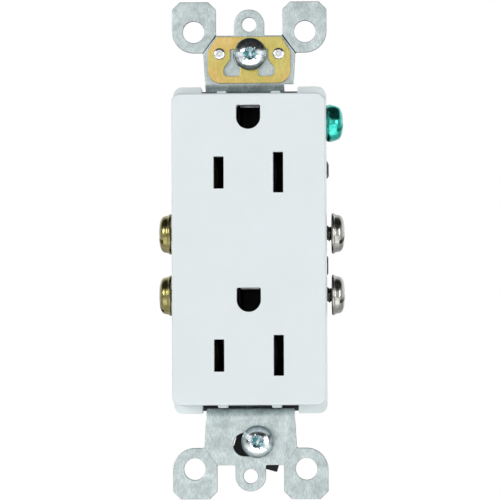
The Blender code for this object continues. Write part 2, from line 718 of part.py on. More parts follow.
def ground_contact(level, z):
    """A plate on the strap's rear with two leaves that grip the ground pin and a lip above it."""
    outline = [(-2.2, z - 8.9), (2.2, z - 8.9), (2.2, z - 3.4), (2.6, z - 3.3), (13.6, z - 3.3)]
    outline += [(13.6, z + 3.4), (-13.6, z + 3.4), (-13.6, z - 3.3), (-2.6, z - 3.3)]
    outline += [(-2.2, z - 3.4)]
    window = [(-2.4, z - 2.6), (2.4, z - 2.6), (2.4, z + 2.7), (-2.4, z + 2.7)]
    sheet, bend = 0.6, 0.6
    middle = RAIL_Y + SHEET + 0.1 + sheet / 2
    name = f"ground_contact_{level}"
    rivet = circle(0, z - RIVET_BELOW, 1.4, 16)
    mesh = stamped(name, [outline, window, rivet], sheet, middle)
    start, grip, flare, flare_at = 2.5, 96.0, 28.0, 11.0
    for side in (-1, 1):
        places = bend_places(start, bend, grip) + bend_places(flare_at, 1.5, flare, 2)
        score(mesh, "X", [side * p for p in places])
    for side in (-1, 1):
        fold(mesh, "X", flare_at, 1.5, flare, side=side, up=-1)
        fold(mesh, "X", start, bend, grip, side=side, up=1)
    piece = add(name, mesh, BRASS)
    lips = helper_group(f"{name}_lip")
    box_helper(f"{name}_lip", lips, (-2.05, 2.05), (0.2, middle), (z + 2.5, z + 2.95))
    boolean(piece, "UNION", lips)


def push_in_clip(name, sx, z):
    """A hairpin leaf: a wire pushed in from the back bends it aside and can't be pulled out."""
    path = [(9.4, 10.8), (9.4, 17.3)] + arc(10.1, 17.3, 0.7, 180, 0, 6) + [(12.2, 13.3)]
    path = [(sx * x, y) for x, y in path]
    mesh = ribbon_mesh(name, path, (z - 1.7, z + 1.7), "XY")
    piece = add(name, mesh, BRIGHT_STEEL)
    thicken(piece, 0.35)


# ---------------------------------------------------------------- fasteners


def drive_cutter(group, name, place, height, slot_half, cross_half, width, depth):
    """A tapering slot, crossed by a shorter and slightly deeper one."""
    bars = (("slot", slot_half, width / 2, depth), ("cross", width / 2, cross_half, depth + 0.15))
    for label, half_x, half_y, deep in bars:
        mesh = box_mesh(f"{name}_{label}", (-half_x, half_x), (-half_y, half_y), (-deep, deep))
        for v in mesh.vertices:
            if v.co.z < 0:
                v.co.x *= 0.72
                v.co.y *= 0.72
            v.co.z += height * MM
        helper(f"{name}_{label}", mesh, group, place)


def screw(name, look, location, facing, head, shank, tip=0.5, drive=(4.6, 1.9, 1.0, 1.0)):
    """head is the turned profile above the shank, and shank is (radius, length)."""
    radius, length = shank
    profile = head + [(radius, 0), (radius, tip - length), (radius - tip, -length), (0, -length)]
    place = at(location, facing)
    piece = add(name, turned_mesh(name, profile), look, place)
    turn(piece)
    cuts = helper_group(f"{name}_cuts")
    drive_cutter(cuts, f"{name}_drive", place, head[0][1], *drive)
    boolean(piece, "DIFFERENCE", cuts)
    return piece


def terminal_screws():
    head = [(0, 2.75), (2.0, 2.62), (3.2, 2.32), (3.85, 1.88), (4.1, 1.1), (4.38, 0.5), (4.38, 0)]
    for side, sx, look in (("hot", -1, BRASS), ("neutral", 1, NICKEL)):
        for level, z in zip(("upper", "lower"), TERMINAL_Z):
            location = (sx * TERMINAL_HEAD_X, SCREW_Y, z)
            name = f"{side}_terminal_screw_{level}"
            screw(name, look, location, (sx, 0, 0), head, (THREAD_R, 7.9))
    ground = [(0, 3.62), (1.9, 3.45), (3.3, 3.05), (3.8, 2.45), (4.05, 1.6), (4.05, 0.6), (3.75, 0)]
    location = (TAB_OUTER_X + 0.1, SCREW_Y, GROUND_SCREW_Z)
    screw("ground_terminal_screw", GREEN_SCREW, location, (1, 0, 0), ground, (THREAD_R, 7.9))


def mounting_screws():
    head = [(0, 2.0), (1.5, 1.85), (2.6, 1.4), (3.3, 0.8), (3.45, 0.35), (3.3, 0)]
    drive = (3.9, 1.7, 0.9, 1.1)
    for level, location in (("top", MOUNT_SCREW_TOP), ("bottom", MOUNT_SCREW_BOTTOM)):
        name = f"mounting_screw_{level}"
        screw(name, BRIGHT_STEEL, location, (0, -1, 0), head, (THREAD_R, 19.0), drive=drive)


def retainer():
    """Fibre washer that keeps the lower mounting screw in the strap."""
    outline = [(-4.9, -5.2), (5.55, -5.2), (5.55, 4.5), (-4.9, 4.5)]
    x, _, z = MOUNT_SCREW_BOTTOM
    lean = Matrix.Rotation(math.radians(-RETAINER_TURN), 4, "Z")
    mesh = flat_mesh("screw_retainer_bottom", [outline, circle(0, 0, HOLE_R, 20)], 0.8)
    place = Matrix.Translation(Vector((x, RETAINER_Y + 0.4, z)) * MM) @ UPRIGHT @ lean
    add("screw_retainer_bottom", mesh, BLACK_FIBRE, place)


def rivet(name, look, location, grip, radius, head_radius, head_height):
    """A rivet along -Y with a low head at each end. grip is the length between its heads."""
    h = head_height
    profile = [(0, h), (head_radius * 0.6, h * 0.85), (head_radius, h * 0.3), (head_radius, 0)]
    profile += [(radius, 0), (radius, -grip), (head_radius, -grip), (head_radius * 0.8, -grip - h)]
    profile += [(0, -grip - h)]
    turn(add(name, turned_mesh(name, profile), look, at(location, (0, -1, 0))), 16)


def rivets():
    for side, sx in (("left", -1), ("right", 1)):
        front = CLIP_REAR_Y - CLIP_SHEET - 0.08
        grip = 0.08 - front
        rivet(f"clip_rivet_{side}", BRIGHT_STEEL, (sx * 6.35, front, 42.05), grip, 0.7, 1.25, 0.5)
    for level, z in zip(("upper", "lower"), PIN_Z):
        front = RAIL_Y - 0.1
        location = (0, front, z - RIVET_BELOW)
        rivet(f"ground_rivet_{level}", BRIGHT_STEEL, location, 2.1, 1.2, 2.0, 0.6)


def assembly_screws():
    """Thread-forming screws from the back, through body and strap, into the cover's bosses."""
    head = [(0, 1.9), (1.8, 1.75), (2.6, 1.1), (2.75, 0.4), (2.75, 0)]
    drive = (1.7, 1.7, 0.8, 1.0)
    for level, z in zip(("upper", "lower"), ASSEMBLY_Z):
        location = (0, BODY_REAR_Y - 2.9, z)
        screw(
            f"assembly_screw_{level}",
            BRIGHT_STEEL,
            location,
            (0, 1, 0),
            head,
            (1.15, 23.0),
            tip=0.8,
            drive=drive,
        )


cover()
body()
strap()
self_grounding_clip()
contact_strip("hot_contact_strip", -1, BRASS)
contact_strip("neutral_contact_strip", 1, NICKEL)
for place_name, pin_z in zip(("upper", "lower"), PIN_Z):
    ground_contact(place_name, pin_z)
for clip_side, direction in (("hot", -1), ("neutral", 1)):
    for place_name, terminal_z in zip(("upper", "lower"), TERMINAL_Z):
        push_in_clip(f"push_in_clip_{clip_side}_{place_name}", direction, terminal_z)
terminal_screws()
mounting_screws()
retainer()
rivets()
assembly_screws()
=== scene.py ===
"""Looks of the duplex wall outlet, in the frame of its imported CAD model.

Lengths are in millimetres, and MM turns them into Blender's metres where a mesh is made.
X runs to the right as the outlet is seen from the room, Y runs into the wall and Z runs up.
"""

import math

import bmesh
import bpy
from mathutils import Matrix, Quaternion, Vector


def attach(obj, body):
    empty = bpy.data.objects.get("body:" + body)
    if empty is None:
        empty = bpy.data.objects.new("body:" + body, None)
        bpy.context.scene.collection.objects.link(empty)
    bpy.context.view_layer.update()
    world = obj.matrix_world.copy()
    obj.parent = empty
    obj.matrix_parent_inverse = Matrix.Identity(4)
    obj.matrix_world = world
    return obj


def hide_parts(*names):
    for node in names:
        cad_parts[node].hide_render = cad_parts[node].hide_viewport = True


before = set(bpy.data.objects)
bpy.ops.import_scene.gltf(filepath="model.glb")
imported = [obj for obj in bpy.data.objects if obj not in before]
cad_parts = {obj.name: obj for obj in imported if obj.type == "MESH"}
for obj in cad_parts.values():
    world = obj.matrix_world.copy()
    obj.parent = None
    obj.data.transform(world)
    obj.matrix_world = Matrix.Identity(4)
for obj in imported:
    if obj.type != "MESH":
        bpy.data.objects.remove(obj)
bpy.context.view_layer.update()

MM = 0.001
# In metres: points closer than this are one point, and shorter edges than this are dropped.
MERGE = 2e-7
SLIVER = 1e-7

# Levels along Y.
FACE_Y = -7.2
COVER_REAR_Y = 3.2
BODY_FRONT_Y = 3.5
BODY_REAR_Y = 22.4
SCREW_Y = 8.0

# Cover.
FACE_HALF_W = 16.4
FACE_HALF_H = 33.25
FACE_CORNER = 1.9
FLANGE_HALF_H = 35.0
FLANGE_INNER_X = 10.3
FLANGE_FRONT_Y = -1.0
FACE_WALL = 2.2
SIDE_WALL = 1.5
END_REAR_Y = 1.2
SLOT_WIDTH = 2.2
HOT_SLOT = 6.9
NEUTRAL_SLOT = 8.7
BLADE_X = 6.35
PIN_RADIUS = 2.6
# A cut that goes right through the face starts and ends here.
THROUGH = (-9, 6)

# Rear body.
BODY_HALF_W = 15.9
BODY_REAR_HALF_W = 15.0
BODY_HALF_H = 34.4
BODY_WALL = 2.0
BAY_X = 13.3
BAY_HALF_H = 18.0
BAY_REAR_Y = 14.0
CAVITY_X = (4.35, 11.8)
CAVITY_HALF_H = 26.4
PUSH_IN_X = 12.9
GUARD_X = 16.6
END_SLOPE = (2.2, 9.0)
SLIT_X = (11, 16)
SLIT_REAR_Y = 12.9
SLIT_RISE = 12.8
WINDOW_X = (11, 13.9)
WINDOW_Y = (4.9, 15.4)
WINDOW_HALF_H = 2.6
RELEASE_X = (9.4, 10.5)
RELEASE_HALF_H = 1.6
SEAT_DEPTH = 3.0

# Strap, a steel sheet.
SHEET = 1.2
BEND_IN = 0.8
BEND_MID = BEND_IN + SHEET / 2
ARC = BEND_MID * math.pi / 2
STEP_LEG = 0.4
RAIL_Y = 2.0
RAIL_END = 33.1
PLATE_START = 35.9
FLAT_EXTRA = 2 * ARC + STEP_LEG - (PLATE_START - RAIL_END)
STRAP_HALF_W = 9.5
SHOULDER_HALF_W = 9.9
PLATE_EDGE = 46.05
LUG_RADIUS = 3.25
LUG_HOLE_R = 1.55
MOUNT_SLOT_HALF = {1: 3.3, -1: 3.75}
MOUNT_SLOT_R = 2.45
EAR = dict(inner=7.15, outer=16.6, low=42.35, high=53.3, chamfer=1.65, corner=4.65)
EAR_HOLE = (11.95, 46.85, 2.33)
SCORE_DEPTH = {1: 0.2, -1: 0.05}
TAB_OUTER_X = 16.1
TAB_DEPTH = 8.6

# Where things are along Z.
SLOT_MID_Z = -3.2
SLOT_Z = (SLOT_MID_Z + 19.5, SLOT_MID_Z - 19.5)
PIN_Z = (SLOT_Z[0] + 11.85, SLOT_Z[1] + 11.85)
TERMINAL_RISE = 0.4
TERMINAL_Z = (SLOT_MID_Z + TERMINAL_RISE + 6.64, SLOT_MID_Z + TERMINAL_RISE - 6.64)
GROUND_SCREW_Z = 27.68
RIVET_BELOW = 6.6
ASSEMBLY_Z = (6.0, -28.6)
MOUNT_Z = 41.65
LUG_Z = 48.4

# Walls that stand in the wire bays: name, side, rear level, middle along Z, half width.
GUARDS = (
    ("hot_fin_guard", -1, 5.4, SLOT_MID_Z, 2.3),
    ("neutral_fin_guard", 1, 5.4, SLOT_MID_Z, 2.3),
    ("ground_barrier", 1, 11.8, 17.7, 1.85),
)

# Screws.
THREAD_R = 1.75
THREAD_PITCH = 0.794
SCREW_NECK = 0.12
TERMINAL_LENGTH = 7.9
MOUNT_LENGTH = 19.0
TERMINAL_HEAD_X = 17.3
MOUNT_SCREW_TOP = (0.28, -2.4, 41.95)
MOUNT_SCREW_BOTTOM = (1.55, -2.1, -41.05)
RETAINER_Y = 2.6

# Clip, a brass sheet with two rivets.
CLIP_SHEET = 0.5
CLIP_REAR_Y = -1.3
CLIP_RIVET_X = 6.35
CLIP_RIVET_Z = 42.05
CLIP_RIVET_HOLE_R = 0.85


# ---------------------------------------------------------------- materials


def node(tree, kind, inputs=None, **settings):
    """Adds a node. An input's value is a number, a colour or another node's output."""
    made = tree.nodes.new(kind)
    for key, value in settings.items():
        setattr(made, key, value)
    for key, value in (inputs or {}).items():
        if isinstance(value, bpy.types.NodeSocket):
            tree.links.new(value, made.inputs[key])
        else:
            made.inputs[key].default_value = value
    return made


def grain(tree, scale, detail, stretch=(1, 1, 1), roughness=0.55):
    """Noise in the piece's own space. scale is features per metre."""
    place = node(tree, "ShaderNodeTexCoord").outputs["Object"]
    stretched = node(tree, "ShaderNodeMapping", {"Vector": place, "Scale": stretch})
    made = node(
        tree,
        "ShaderNodeTexNoise",
        {
            "Vector": stretched.outputs["Vector"],
            "Scale": scale,
            "Detail": detail,
            "Roughness": roughness,
        },
    )
    return made.outputs["Fac"]


def spread(tree, value, low, high, near=0.3, far=0.7, **settings):
    """Maps what lies between near and far onto low to high."""
    inputs = {"Value": value, "From Min": near, "From Max": far, "To Min": low, "To Max": high}
    return node(tree, "ShaderNodeMapRange", inputs, **settings).outputs["Result"]


def blend_colour(tree, value, dark, light, near=0.3, far=0.7):
    """Maps what lies between near and far onto one colour to another."""
    made = node(tree, "ShaderNodeValToRGB", {"Fac": value})
    first, last = made.color_ramp.elements
    first.position, first.color = near, (*dark, 1)
    last.position, last.color = far, (*light, 1)
    return made.outputs["Color"]


def number_math(tree, operation, *values):
    made = node(tree, "ShaderNodeMath", dict(enumerate(values)), operation=operation)
    return made.outputs["Value"]


def vector_math(tree, operation, *values):
    """Math on vectors or colours. LENGTH and DOT_PRODUCT give a number."""
    made = node(tree, "ShaderNodeVectorMath", dict(enumerate(values)), operation=operation)
    return made.outputs["Value" if operation in ("LENGTH", "DOT_PRODUCT") else "Vector"]


def add_up(tree, values):
    total = values[0]
    for value in values[1:]:
        total = number_math(tree, "ADD", total, value)
    return total


def away_from(tree, centre, near, far, low, high=1.0, along=(1, 1, 1)):
    """A factor that goes from low, within near mm of a point, to high beyond far mm. A zero in
    along leaves that axis out."""
    place = node(tree, "ShaderNodeTexCoord").outputs["Object"]
    offset = vector_math(tree, "SUBTRACT", place, Vector(centre) * MM)
    length = vector_math(tree, "LENGTH", vector_math(tree, "MULTIPLY", offset, along))
    return spread(tree, length, low, high, near * MM, far * MM)


# How square to Y a shading normal is (1 is square) where the painted shade on a cut edge is whole,
# and where it ends.
# Both are high, since a rounded edge's shading runs into the flat face beside it.
CUT_EDGE_FACING = (0.88, 0.99)


def painted_edge_shade(tree, tone, beyond):
    """A factor of tone on faces that don't face forward or back, beyond this many mm up or down,
    and 1 elsewhere: painted shade on a sheet's edge faces."""
    normal = node(tree, "ShaderNodeTexCoord").outputs["Normal"]
    parts = node(tree, "ShaderNodeSeparateXYZ", {0: normal})
    facing = number_math(tree, "ABSOLUTE", parts.outputs["Y"])
    side = spread(tree, facing, 1.0, 0.0, *CUT_EDGE_FACING)
    reach = away_from(tree, (0, 0, 0), beyond, beyond + 1, 0.0, along=(0, 0, 1))
    return spread(tree, number_math(tree, "MULTIPLY", side, reach), 1.0, tone, 0.0, 1.0)


def tarnish_and_painted_shade(material, factor_of):
    """Multiplies a material's colour by a factor that factor_of makes in its node tree. It lays
    patina and painted shade.
    """
    tree = material.node_tree
    target = tree.nodes["Principled BSDF"].inputs["Base Color"]
    colour = target.links[0].from_socket
    tree.links.new(vector_math(tree, "MULTIPLY", colour, factor_of(tree)), target)


def new_look(name):
    material = bpy.data.materials.new(name)
    material.use_nodes = True
    return material, material.node_tree, material.node_tree.nodes["Principled BSDF"]


def bump(tree, shader, layers):
    """layers: (height socket, depth in mm), laid one on another."""
    normal = None
    for height, depth in layers:
        inputs = {"Height": height, "Distance": depth * MM, "Strength": 1.0}
        if normal is not None:
            inputs["Normal"] = normal
        normal = node(tree, "ShaderNodeBump", inputs).outputs["Normal"]
    tree.links.new(normal, shader.inputs["Normal"])


PLASTIC_IOR = 1.5
MOULD_WAVE_DEPTH = 0.02
PIT_DEPTH = 0.003
STREAK_OFFSET = 0.24


def plastic(name, dark, light, rough, texture_scale, texture_depth):
    """Plastic with faint clouds of tone, a moulded texture and a slow wave in its surface."""
    material, tree, shader = new_look(name)
    cloud = grain(tree, 90, 2)
    fine = grain(tree, texture_scale, 2)
    tree.links.new(blend_colour(tree, cloud, dark, light), shader.inputs["Base Color"])
    tree.links.new(spread(tree, grain(tree, 700, 4), *rough), shader.inputs["Roughness"])
    shader.inputs["IOR"].default_value = PLASTIC_IOR
    bump(tree, shader, [(fine, texture_depth), (grain(tree, 60, 1), MOULD_WAVE_DEPTH)])
    return material


def metal(name, dark, light, rough, blotch, lines=(1, 1, 1), line_depth=0.004):
    """Metal with blotches of tone, fine lines and small pits."""
    material, tree, shader = new_look(name)
    shader.inputs["Metallic"].default_value = 1.0
    tone = grain(tree, blotch, 6, roughness=0.7)
    streak = grain(tree, 900, 4, lines, roughness=0.7)
    mixed = number_math(tree, "MULTIPLY_ADD", tone, streak, STREAK_OFFSET)
    colour = blend_colour(tree, mixed, dark, light, 0.38, 0.62)
    tree.links.new(colour, shader.inputs["Base Color"])
    dull = spread(tree, grain(tree, blotch * 3, 5, lines), *rough)
    tree.links.new(dull, shader.inputs["Roughness"])
    bump(tree, shader, [(streak, line_depth), (grain(tree, 2600, 3), PIT_DEPTH)])
    return material


# Name, darkest and lightest colour, range of roughness; then for plastic its texture's features
# per metre and depth in mm, and for metal its blotches per metre, its lines' stretch and depth.
WHITE = plastic(
    "white_plastic", (0.765, 0.825, 0.835), (0.785, 0.84, 0.86), (0.3, 0.38), 5200, 0.0012
)
BLACK = plastic(
    "black_plastic", (0.008, 0.008, 0.009), (0.014, 0.014, 0.015), (0.48, 0.62), 3600, 0.012
)
FIBRE = plastic("black_fibre", (0.012, 0.012, 0.013), (0.03, 0.03, 0.03), (0.75, 0.9), 2200, 0.03)
ZINC_SHEET = metal(
    "zinc_steel", (0.40, 0.465, 0.465), (0.76, 0.83, 0.83), (0.34, 0.5), 420, (6, 1, 1), 0.006
)
BRIGHT = metal("bright_steel", (0.76, 0.82, 0.86), (0.93, 0.96, 0.98), (0.12, 0.24), 500)
BRASS_SHEET = metal(
    "brass_sheet", (0.67, 0.49, 0.13), (0.84, 0.68, 0.26), (0.26, 0.4), 260, (5, 1, 1)
)
BRASS_SCREW = metal("brass_screw", (0.24, 0.21, 0.072), (0.41, 0.365, 0.175), (0.16, 0.3), 420)
CONTACT_BRASS = metal("contact_brass", (0.62, 0.44, 0.14), (0.82, 0.62, 0.25), (0.3, 0.45), 300)
CONTACT_PLATE = metal("contact_plate", (0.46, 0.44, 0.40), (0.68, 0.66, 0.61), (0.25, 0.4), 300)
NICKEL = metal("nickel", (0.29, 0.286, 0.26), (0.56, 0.555, 0.515), (0.14, 0.28), 420)
TIN = metal("tin_plate", (0.80, 0.82, 0.80), (0.95, 0.96, 0.94), (0.14, 0.26), 300)
GREEN = metal("green_screw", (0.01, 0.36, 0.30), (0.10, 0.72, 0.60), (0.16, 0.3), 420)
RIVET = metal("rivet_steel", (0.80, 0.82, 0.83), (0.95, 0.94, 0.95), (0.2, 0.34), 900)


def painted_recess_shade(tree):
    """Painted shade in a drive recess, dark blue-green and patchy, left off round the recess's
    centre.
    """
    shadow = away_from(tree, (0, 0, 0.3), near=1.2, far=2.0, low=0.0)
    centre = away_from(tree, (0, 0, 0.6), near=0.35, far=0.6, low=1.0, high=0.0)
    patchy = spread(tree, grain(tree, 1500, 2), -0.25, 0.45, 0.4, 0.6)
    total = add_up(tree, [shadow, centre, patchy])
    return blend_colour(tree, total, (0.10, 0.30, 0.32), (1, 1, 1), 0.0, 1.0)


def painted_rim_reflection(tree):
    """Darker and greener towards a mounting screw's rim: a painted dark reflection."""
    rim = away_from(tree, (0, 0, 0), near=2.5, far=3.3, low=0.0, along=(1, 1, 0))
    return blend_colour(tree, rim, (1, 1, 1), (0.30, 0.37, 0.36), 0.0, 1.0)


def patina(tree):
    """Faint pink and green patches."""
    return blend_colour(tree, grain(tree, 170, 2), (0.90, 1.0, 0.95), (1.03, 0.95, 1.0), 0.4, 0.6)


def painted_neck_shade(tree):
    """Painted shade on a terminal screw's neck, just under its head."""
    return away_from(tree, (0, 0, -1), near=1.15, far=1.45, low=0.42, along=(0, 0, 1))


def painted_inside_shade(tree):
    """Painted shade on a contact strip inside the body, and its plain colour where it comes out at
    the side.
    """
    return away_from(tree, (0, 0, 0), near=8.6, far=12.0, low=0.02, along=(1, 0, 0))


def painted_rear_shade(tree):
    """Plain colour on a ground contact near the wall plane, and painted shade behind that."""
    return away_from(tree, (0, 0, 0), near=2.0, far=2.8, low=1.0, high=0.05, along=(0, 1, 0))


# Painted shade in the bright screws' drive recesses, and a painted dark reflection towards their
# rims.
tarnish_and_painted_shade(BRIGHT, painted_recess_shade)
tarnish_and_painted_shade(BRIGHT, painted_rim_reflection)
# Painted shade on edge faces: the strap's edges are dark on the ears and the lugs, outside the
# cover, and the clip's are all dark.
tarnish_and_painted_shade(ZINC_SHEET, lambda tree: painted_edge_shade(tree, tone=0.2, beyond=FLANGE_HALF_H + 1))
tarnish_and_painted_shade(BRASS_SHEET, lambda tree: painted_edge_shade(tree, tone=0.3, beyond=10))
tarnish_and_painted_shade(BRASS_SHEET, patina)
# Painted shade on the terminal and ground screws' necks, under their heads.
for screw_look in (BRASS_SCREW, NICKEL, GREEN):
    tarnish_and_painted_shade(screw_look, painted_neck_shade)
# Painted shade on the contact strips inside the body.
for contact_look in (CONTACT_BRASS, CONTACT_PLATE):
    tarnish_and_painted_shade(contact_look, painted_inside_shade)
# Painted shade on the ground contacts behind the wall plane.
tarnish_and_painted_shade(TIN, painted_rear_shade)


# ---------------------------------------------------------------- outlines


def arc(cx, cy, radius, start, end, steps):
    turns = [math.radians(start + (end - start) * k / steps) for k in range(steps + 1)]
    return [(cx + radius * math.cos(a), cy + radius * math.sin(a)) for a in turns]


def circle(cx, cy, radius, sides=48):
    return arc(cx, cy, radius, 0, 360, sides)[:-1]


def slot_outline(cx, cy, half_length, radius, steps=16):
    run = half_length - radius
    right = arc(cx + run, cy, radius, -90, 90, steps)
    return right + arc(cx - run, cy, radius, 90, 270, steps)


def round_corner(before, corner, after, radius, steps):
    corner = Vector(corner)
    back = (Vector(before) - corner).normalized()
    ahead = (Vector(after) - corner).normalized()
    half = back.angle(ahead) / 2
    if half > math.radians(89) or radius <= 0:
        return [corner]
    reach = radius / math.tan(half)
    centre = corner + (back + ahead).normalized() * (radius / math.sin(half))
    first, last = corner + back * reach - centre, corner + ahead * reach - centre
    sweep = first.angle(last)
    out = []
    for k in range(steps + 1):
        t = k / steps
        mixed = first * math.sin((1 - t) * sweep) + last * math.sin(t * sweep)
        out.append(centre + mixed / math.sin(sweep))
    return out


def rounded(points, radius, steps):
    """An open path with its inner corners rounded."""
    out = [Vector(points[0])]
    for before, corner, after in zip(points, points[1:], points[2:]):
        out += round_corner(before, corner, after, radius, steps)
    return out + [Vector(points[-1])]


def rounded_loop(points, radius, steps):
    """A closed outline with rounded corners. A point (x, y, r) has a radius of its own."""
    flat = [p[:2] for p in points]
    out = []
    for k, point in enumerate(points):
        own = point[2] if len(point) > 2 else radius
        out += round_corner(flat[k - 1], flat[k], flat[(k + 1) % len(flat)], own, steps)
    return [tuple(p) for p in out]


# ---------------------------------------------------------------- meshes


UPRIGHT = Matrix.Rotation(math.radians(90), 4, "X")
# A rounded edge takes a flat neighbour's normal where the cosine between them is above this.
LEANS_WITH = 0.6
helpers = bpy.data.collections.new("cutters")
bpy.context.scene.collection.children.link(helpers)
helpers.hide_render = True


def finished(bm, name):
    """A mesh with what was built."""
    mesh = bpy.data.meshes.new(name)
    bm.to_mesh(mesh)
    bm.free()
    return mesh


def clean(mesh):
    bm = bmesh.new()
    bm.from_mesh(mesh)
    bmesh.ops.remove_doubles(bm, verts=bm.verts, dist=MERGE)
    bmesh.ops.recalc_face_normals(bm, faces=bm.faces)
    bm.to_mesh(mesh)
    bm.free()


def shade(mesh, degrees):
    mesh.shade_smooth()
    mesh.set_sharp_from_angle(angle=math.radians(degrees))


def sheet_mesh(name, outlines, thickness, edge=0.0, edge_steps=1, matrix=None):
    """A plate whose middle is its own XY plane, with rounded edges. Inner outlines are holes."""
    curve = bpy.data.curves.new(name, "CURVE")
    curve.dimensions = "2D"
    curve.fill_mode = "BOTH"
    curve.extrude = (thickness / 2 - edge) * MM
    curve.bevel_depth = edge * MM
    curve.bevel_resolution = edge_steps
    curve.offset = -edge * MM
    for outline in outlines:
        spline = curve.splines.new("POLY")
        spline.points.add(len(outline) - 1)
        for point, (u, v) in zip(spline.points, outline):
            point.co = (u * MM, v * MM, 0, 1)
        spline.use_cyclic_u = True
    drawn = bpy.data.objects.new(name + "_outline", curve)
    bpy.context.scene.collection.objects.link(drawn)
    graph = bpy.context.evaluated_depsgraph_get()
    mesh = bpy.data.meshes.new_from_object(drawn.evaluated_get(graph))
    bpy.data.objects.remove(drawn)
    bpy.data.curves.remove(curve)
    if matrix is not None:
        mesh.transform(matrix)
    clean(mesh)
    mesh.name = name
    return mesh


def upright(name, outline, y, edge=0.0, edge_steps=1):
    """A prism between two levels of Y, from an outline in XZ."""
    lift = Matrix.Translation((0, sum(y) / 2 * MM, 0))
    return sheet_mesh(name, [outline], y[1] - y[0], edge, edge_steps, lift @ UPRIGHT)


def box_mesh(name, x, y, z, rear_scale=(1.0, 1.0)):
    """A box between levels of X, Y and Z, whose rear face may be scaled."""
    bm = bmesh.new()
    bmesh.ops.create_cube(bm, size=1.0)
    for v in bm.verts:
        sx, sz = rear_scale if v.co.y > 0 else (1.0, 1.0)
        v.co = (
            (sum(x) / 2 + v.co.x * (x[1] - x[0]) * sx) * MM,
            (sum(y) / 2 + v.co.y * (y[1] - y[0])) * MM,
            (sum(z) / 2 + v.co.z * (z[1] - z[0]) * sz) * MM,
        )
    return finished(bm, name)


def rod_mesh(name, radius, length, sides=40, end_radius=None):
    bm = bmesh.new()
    bmesh.ops.create_cone(
        bm,
        cap_ends=True,
        segments=sides,
        radius1=radius * MM,
        radius2=(radius if end_radius is None else end_radius) * MM,
        depth=length * MM,
        matrix=Matrix.Translation((0, 0, length / 2 * MM)),
    )
    return finished(bm, name)


def lathe(name, top, rows, bottom, sides):
    """A closed solid round Z, from rows of (radius at each turn, height) between two heights."""
    turns = [2 * math.pi * k / sides for k in range(sides)]
    bm = bmesh.new()
    apex = bm.verts.new((0, 0, top * MM))
    previous = None
    for radii, h in rows:
        ring = [
            bm.verts.new((r * math.cos(a) * MM, r * math.sin(a) * MM, h * MM))
            for a, r in zip(turns, radii)
        ]
        for k in range(sides):
            after = (k + 1) % sides
            if previous is None:
                bm.faces.new((apex, ring[k], ring[after]))
            else:
                bm.faces.new((previous[k], ring[k], ring[after], previous[after]))
        previous = ring
    end = bm.verts.new((0, 0, bottom * MM))
    for k in range(sides):
        bm.faces.new((previous[k], end, previous[(k + 1) % sides]))
    bmesh.ops.recalc_face_normals(bm, faces=bm.faces)
    return finished(bm, name)


def at(location, facing, spin=0.0):
    """Stands a piece's own +Z along facing, at location, after a spin in degrees."""
    turn = Vector((0, 0, 1)).rotation_difference(Vector(facing)).to_matrix().to_4x4()
    spun = Matrix.Rotation(math.radians(spin), 4, "Z")
    return Matrix.Translation(Vector(location) * MM) @ turn @ spun


def group(name):
    """A collection for the shapes that one modifier adds or cuts away."""
    made = bpy.data.collections.new(name)
    helpers.children.link(made)
    return made


def helper(into, mesh, place=None):
    made = bpy.data.objects.new(mesh.name, mesh)
    into.objects.link(made)
    made.hide_render = True
    if place is not None:
        made.matrix_world = place


def boolean(piece, operation, operands):
    made = piece.modifiers.new(operands.name, "BOOLEAN")
    made.operation = operation
    made.operand_type = "COLLECTION"
    made.collection = operands
    made.solver = "EXACT"


def soften(piece, width):
    """Breaks the sharp edges that cutting leaves."""
    made = piece.modifiers.new("soften", "BEVEL")
    made.width = width * MM
    made.segments = 2
    made.limit_method = "ANGLE"
    made.angle_limit = math.radians(50)
    made.use_clamp_overlap = True
    made.miter_outer = "MITER_ARC"


def show(name, mesh, material, body, nodes=None, place=None):
    """A shown piece that stands for CAD nodes and rides on their body."""
    piece = bpy.data.objects.new(name, mesh)
    bpy.context.scene.collection.objects.link(piece)
    mesh.materials.clear()
    mesh.materials.append(material)
    if place is not None:
        piece.matrix_world = place
    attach(piece, body)
    for replaced in nodes or []:
        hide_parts(replaced)
    return piece


def settle(piece, degrees=32):
    """Turns a piece's modifiers into its mesh, with smooth shading between sharp edges."""
    bpy.context.view_layer.update()
    graph = bpy.context.evaluated_depsgraph_get()
    mesh = bpy.data.meshes.new_from_object(piece.evaluated_get(graph))
    piece.modifiers.clear()
    piece.data = mesh
    bm = bmesh.new()
    bm.from_mesh(mesh)
    bmesh.ops.remove_doubles(bm, verts=bm.verts, dist=MERGE)
    bmesh.ops.dissolve_degenerate(bm, edges=bm.edges, dist=SLIVER)
    bm.to_mesh(mesh)
    bm.free()
    level(piece, degrees)


def is_flat(face):
    """Whether a face is square to X, Y or Z."""
    return max(abs(c) for c in face.normal) > 0.99995


def level(piece, degrees=32):
    """Smooth shading that keeps flat faces flat and lets their rounded edges run into them."""
    mesh = piece.data
    shade(mesh, degrees)
    flats = {}
    for face in mesh.polygons:
        if is_flat(face):
            for index in face.vertices:
                flats.setdefault(index, []).append(face.normal.copy())
    normals = [Vector(corner.vector) for corner in mesh.corner_normals]
    for face in mesh.polygons:
        flat = is_flat(face)
        for corner in face.loop_indices:
            if flat:
                normals[corner] = face.normal.copy()
                continue
            near = flats.get(mesh.loops[corner].vertex_index, [])
            best = max(near, key=lambda n: n.dot(face.normal), default=None)
            if best is not None and best.dot(face.normal) > LEANS_WITH:
                normals[corner] = best
    mesh.normals_split_custom_set(normals)


# ---------------------------------------------------------------- folding sheet metal


# Where the middle of each sheet lies along Y, in metres, by the mesh's name.
sheet_middle = {}
BEND_STEPS = 8
RIGHT_ANGLE = math.radians(90)


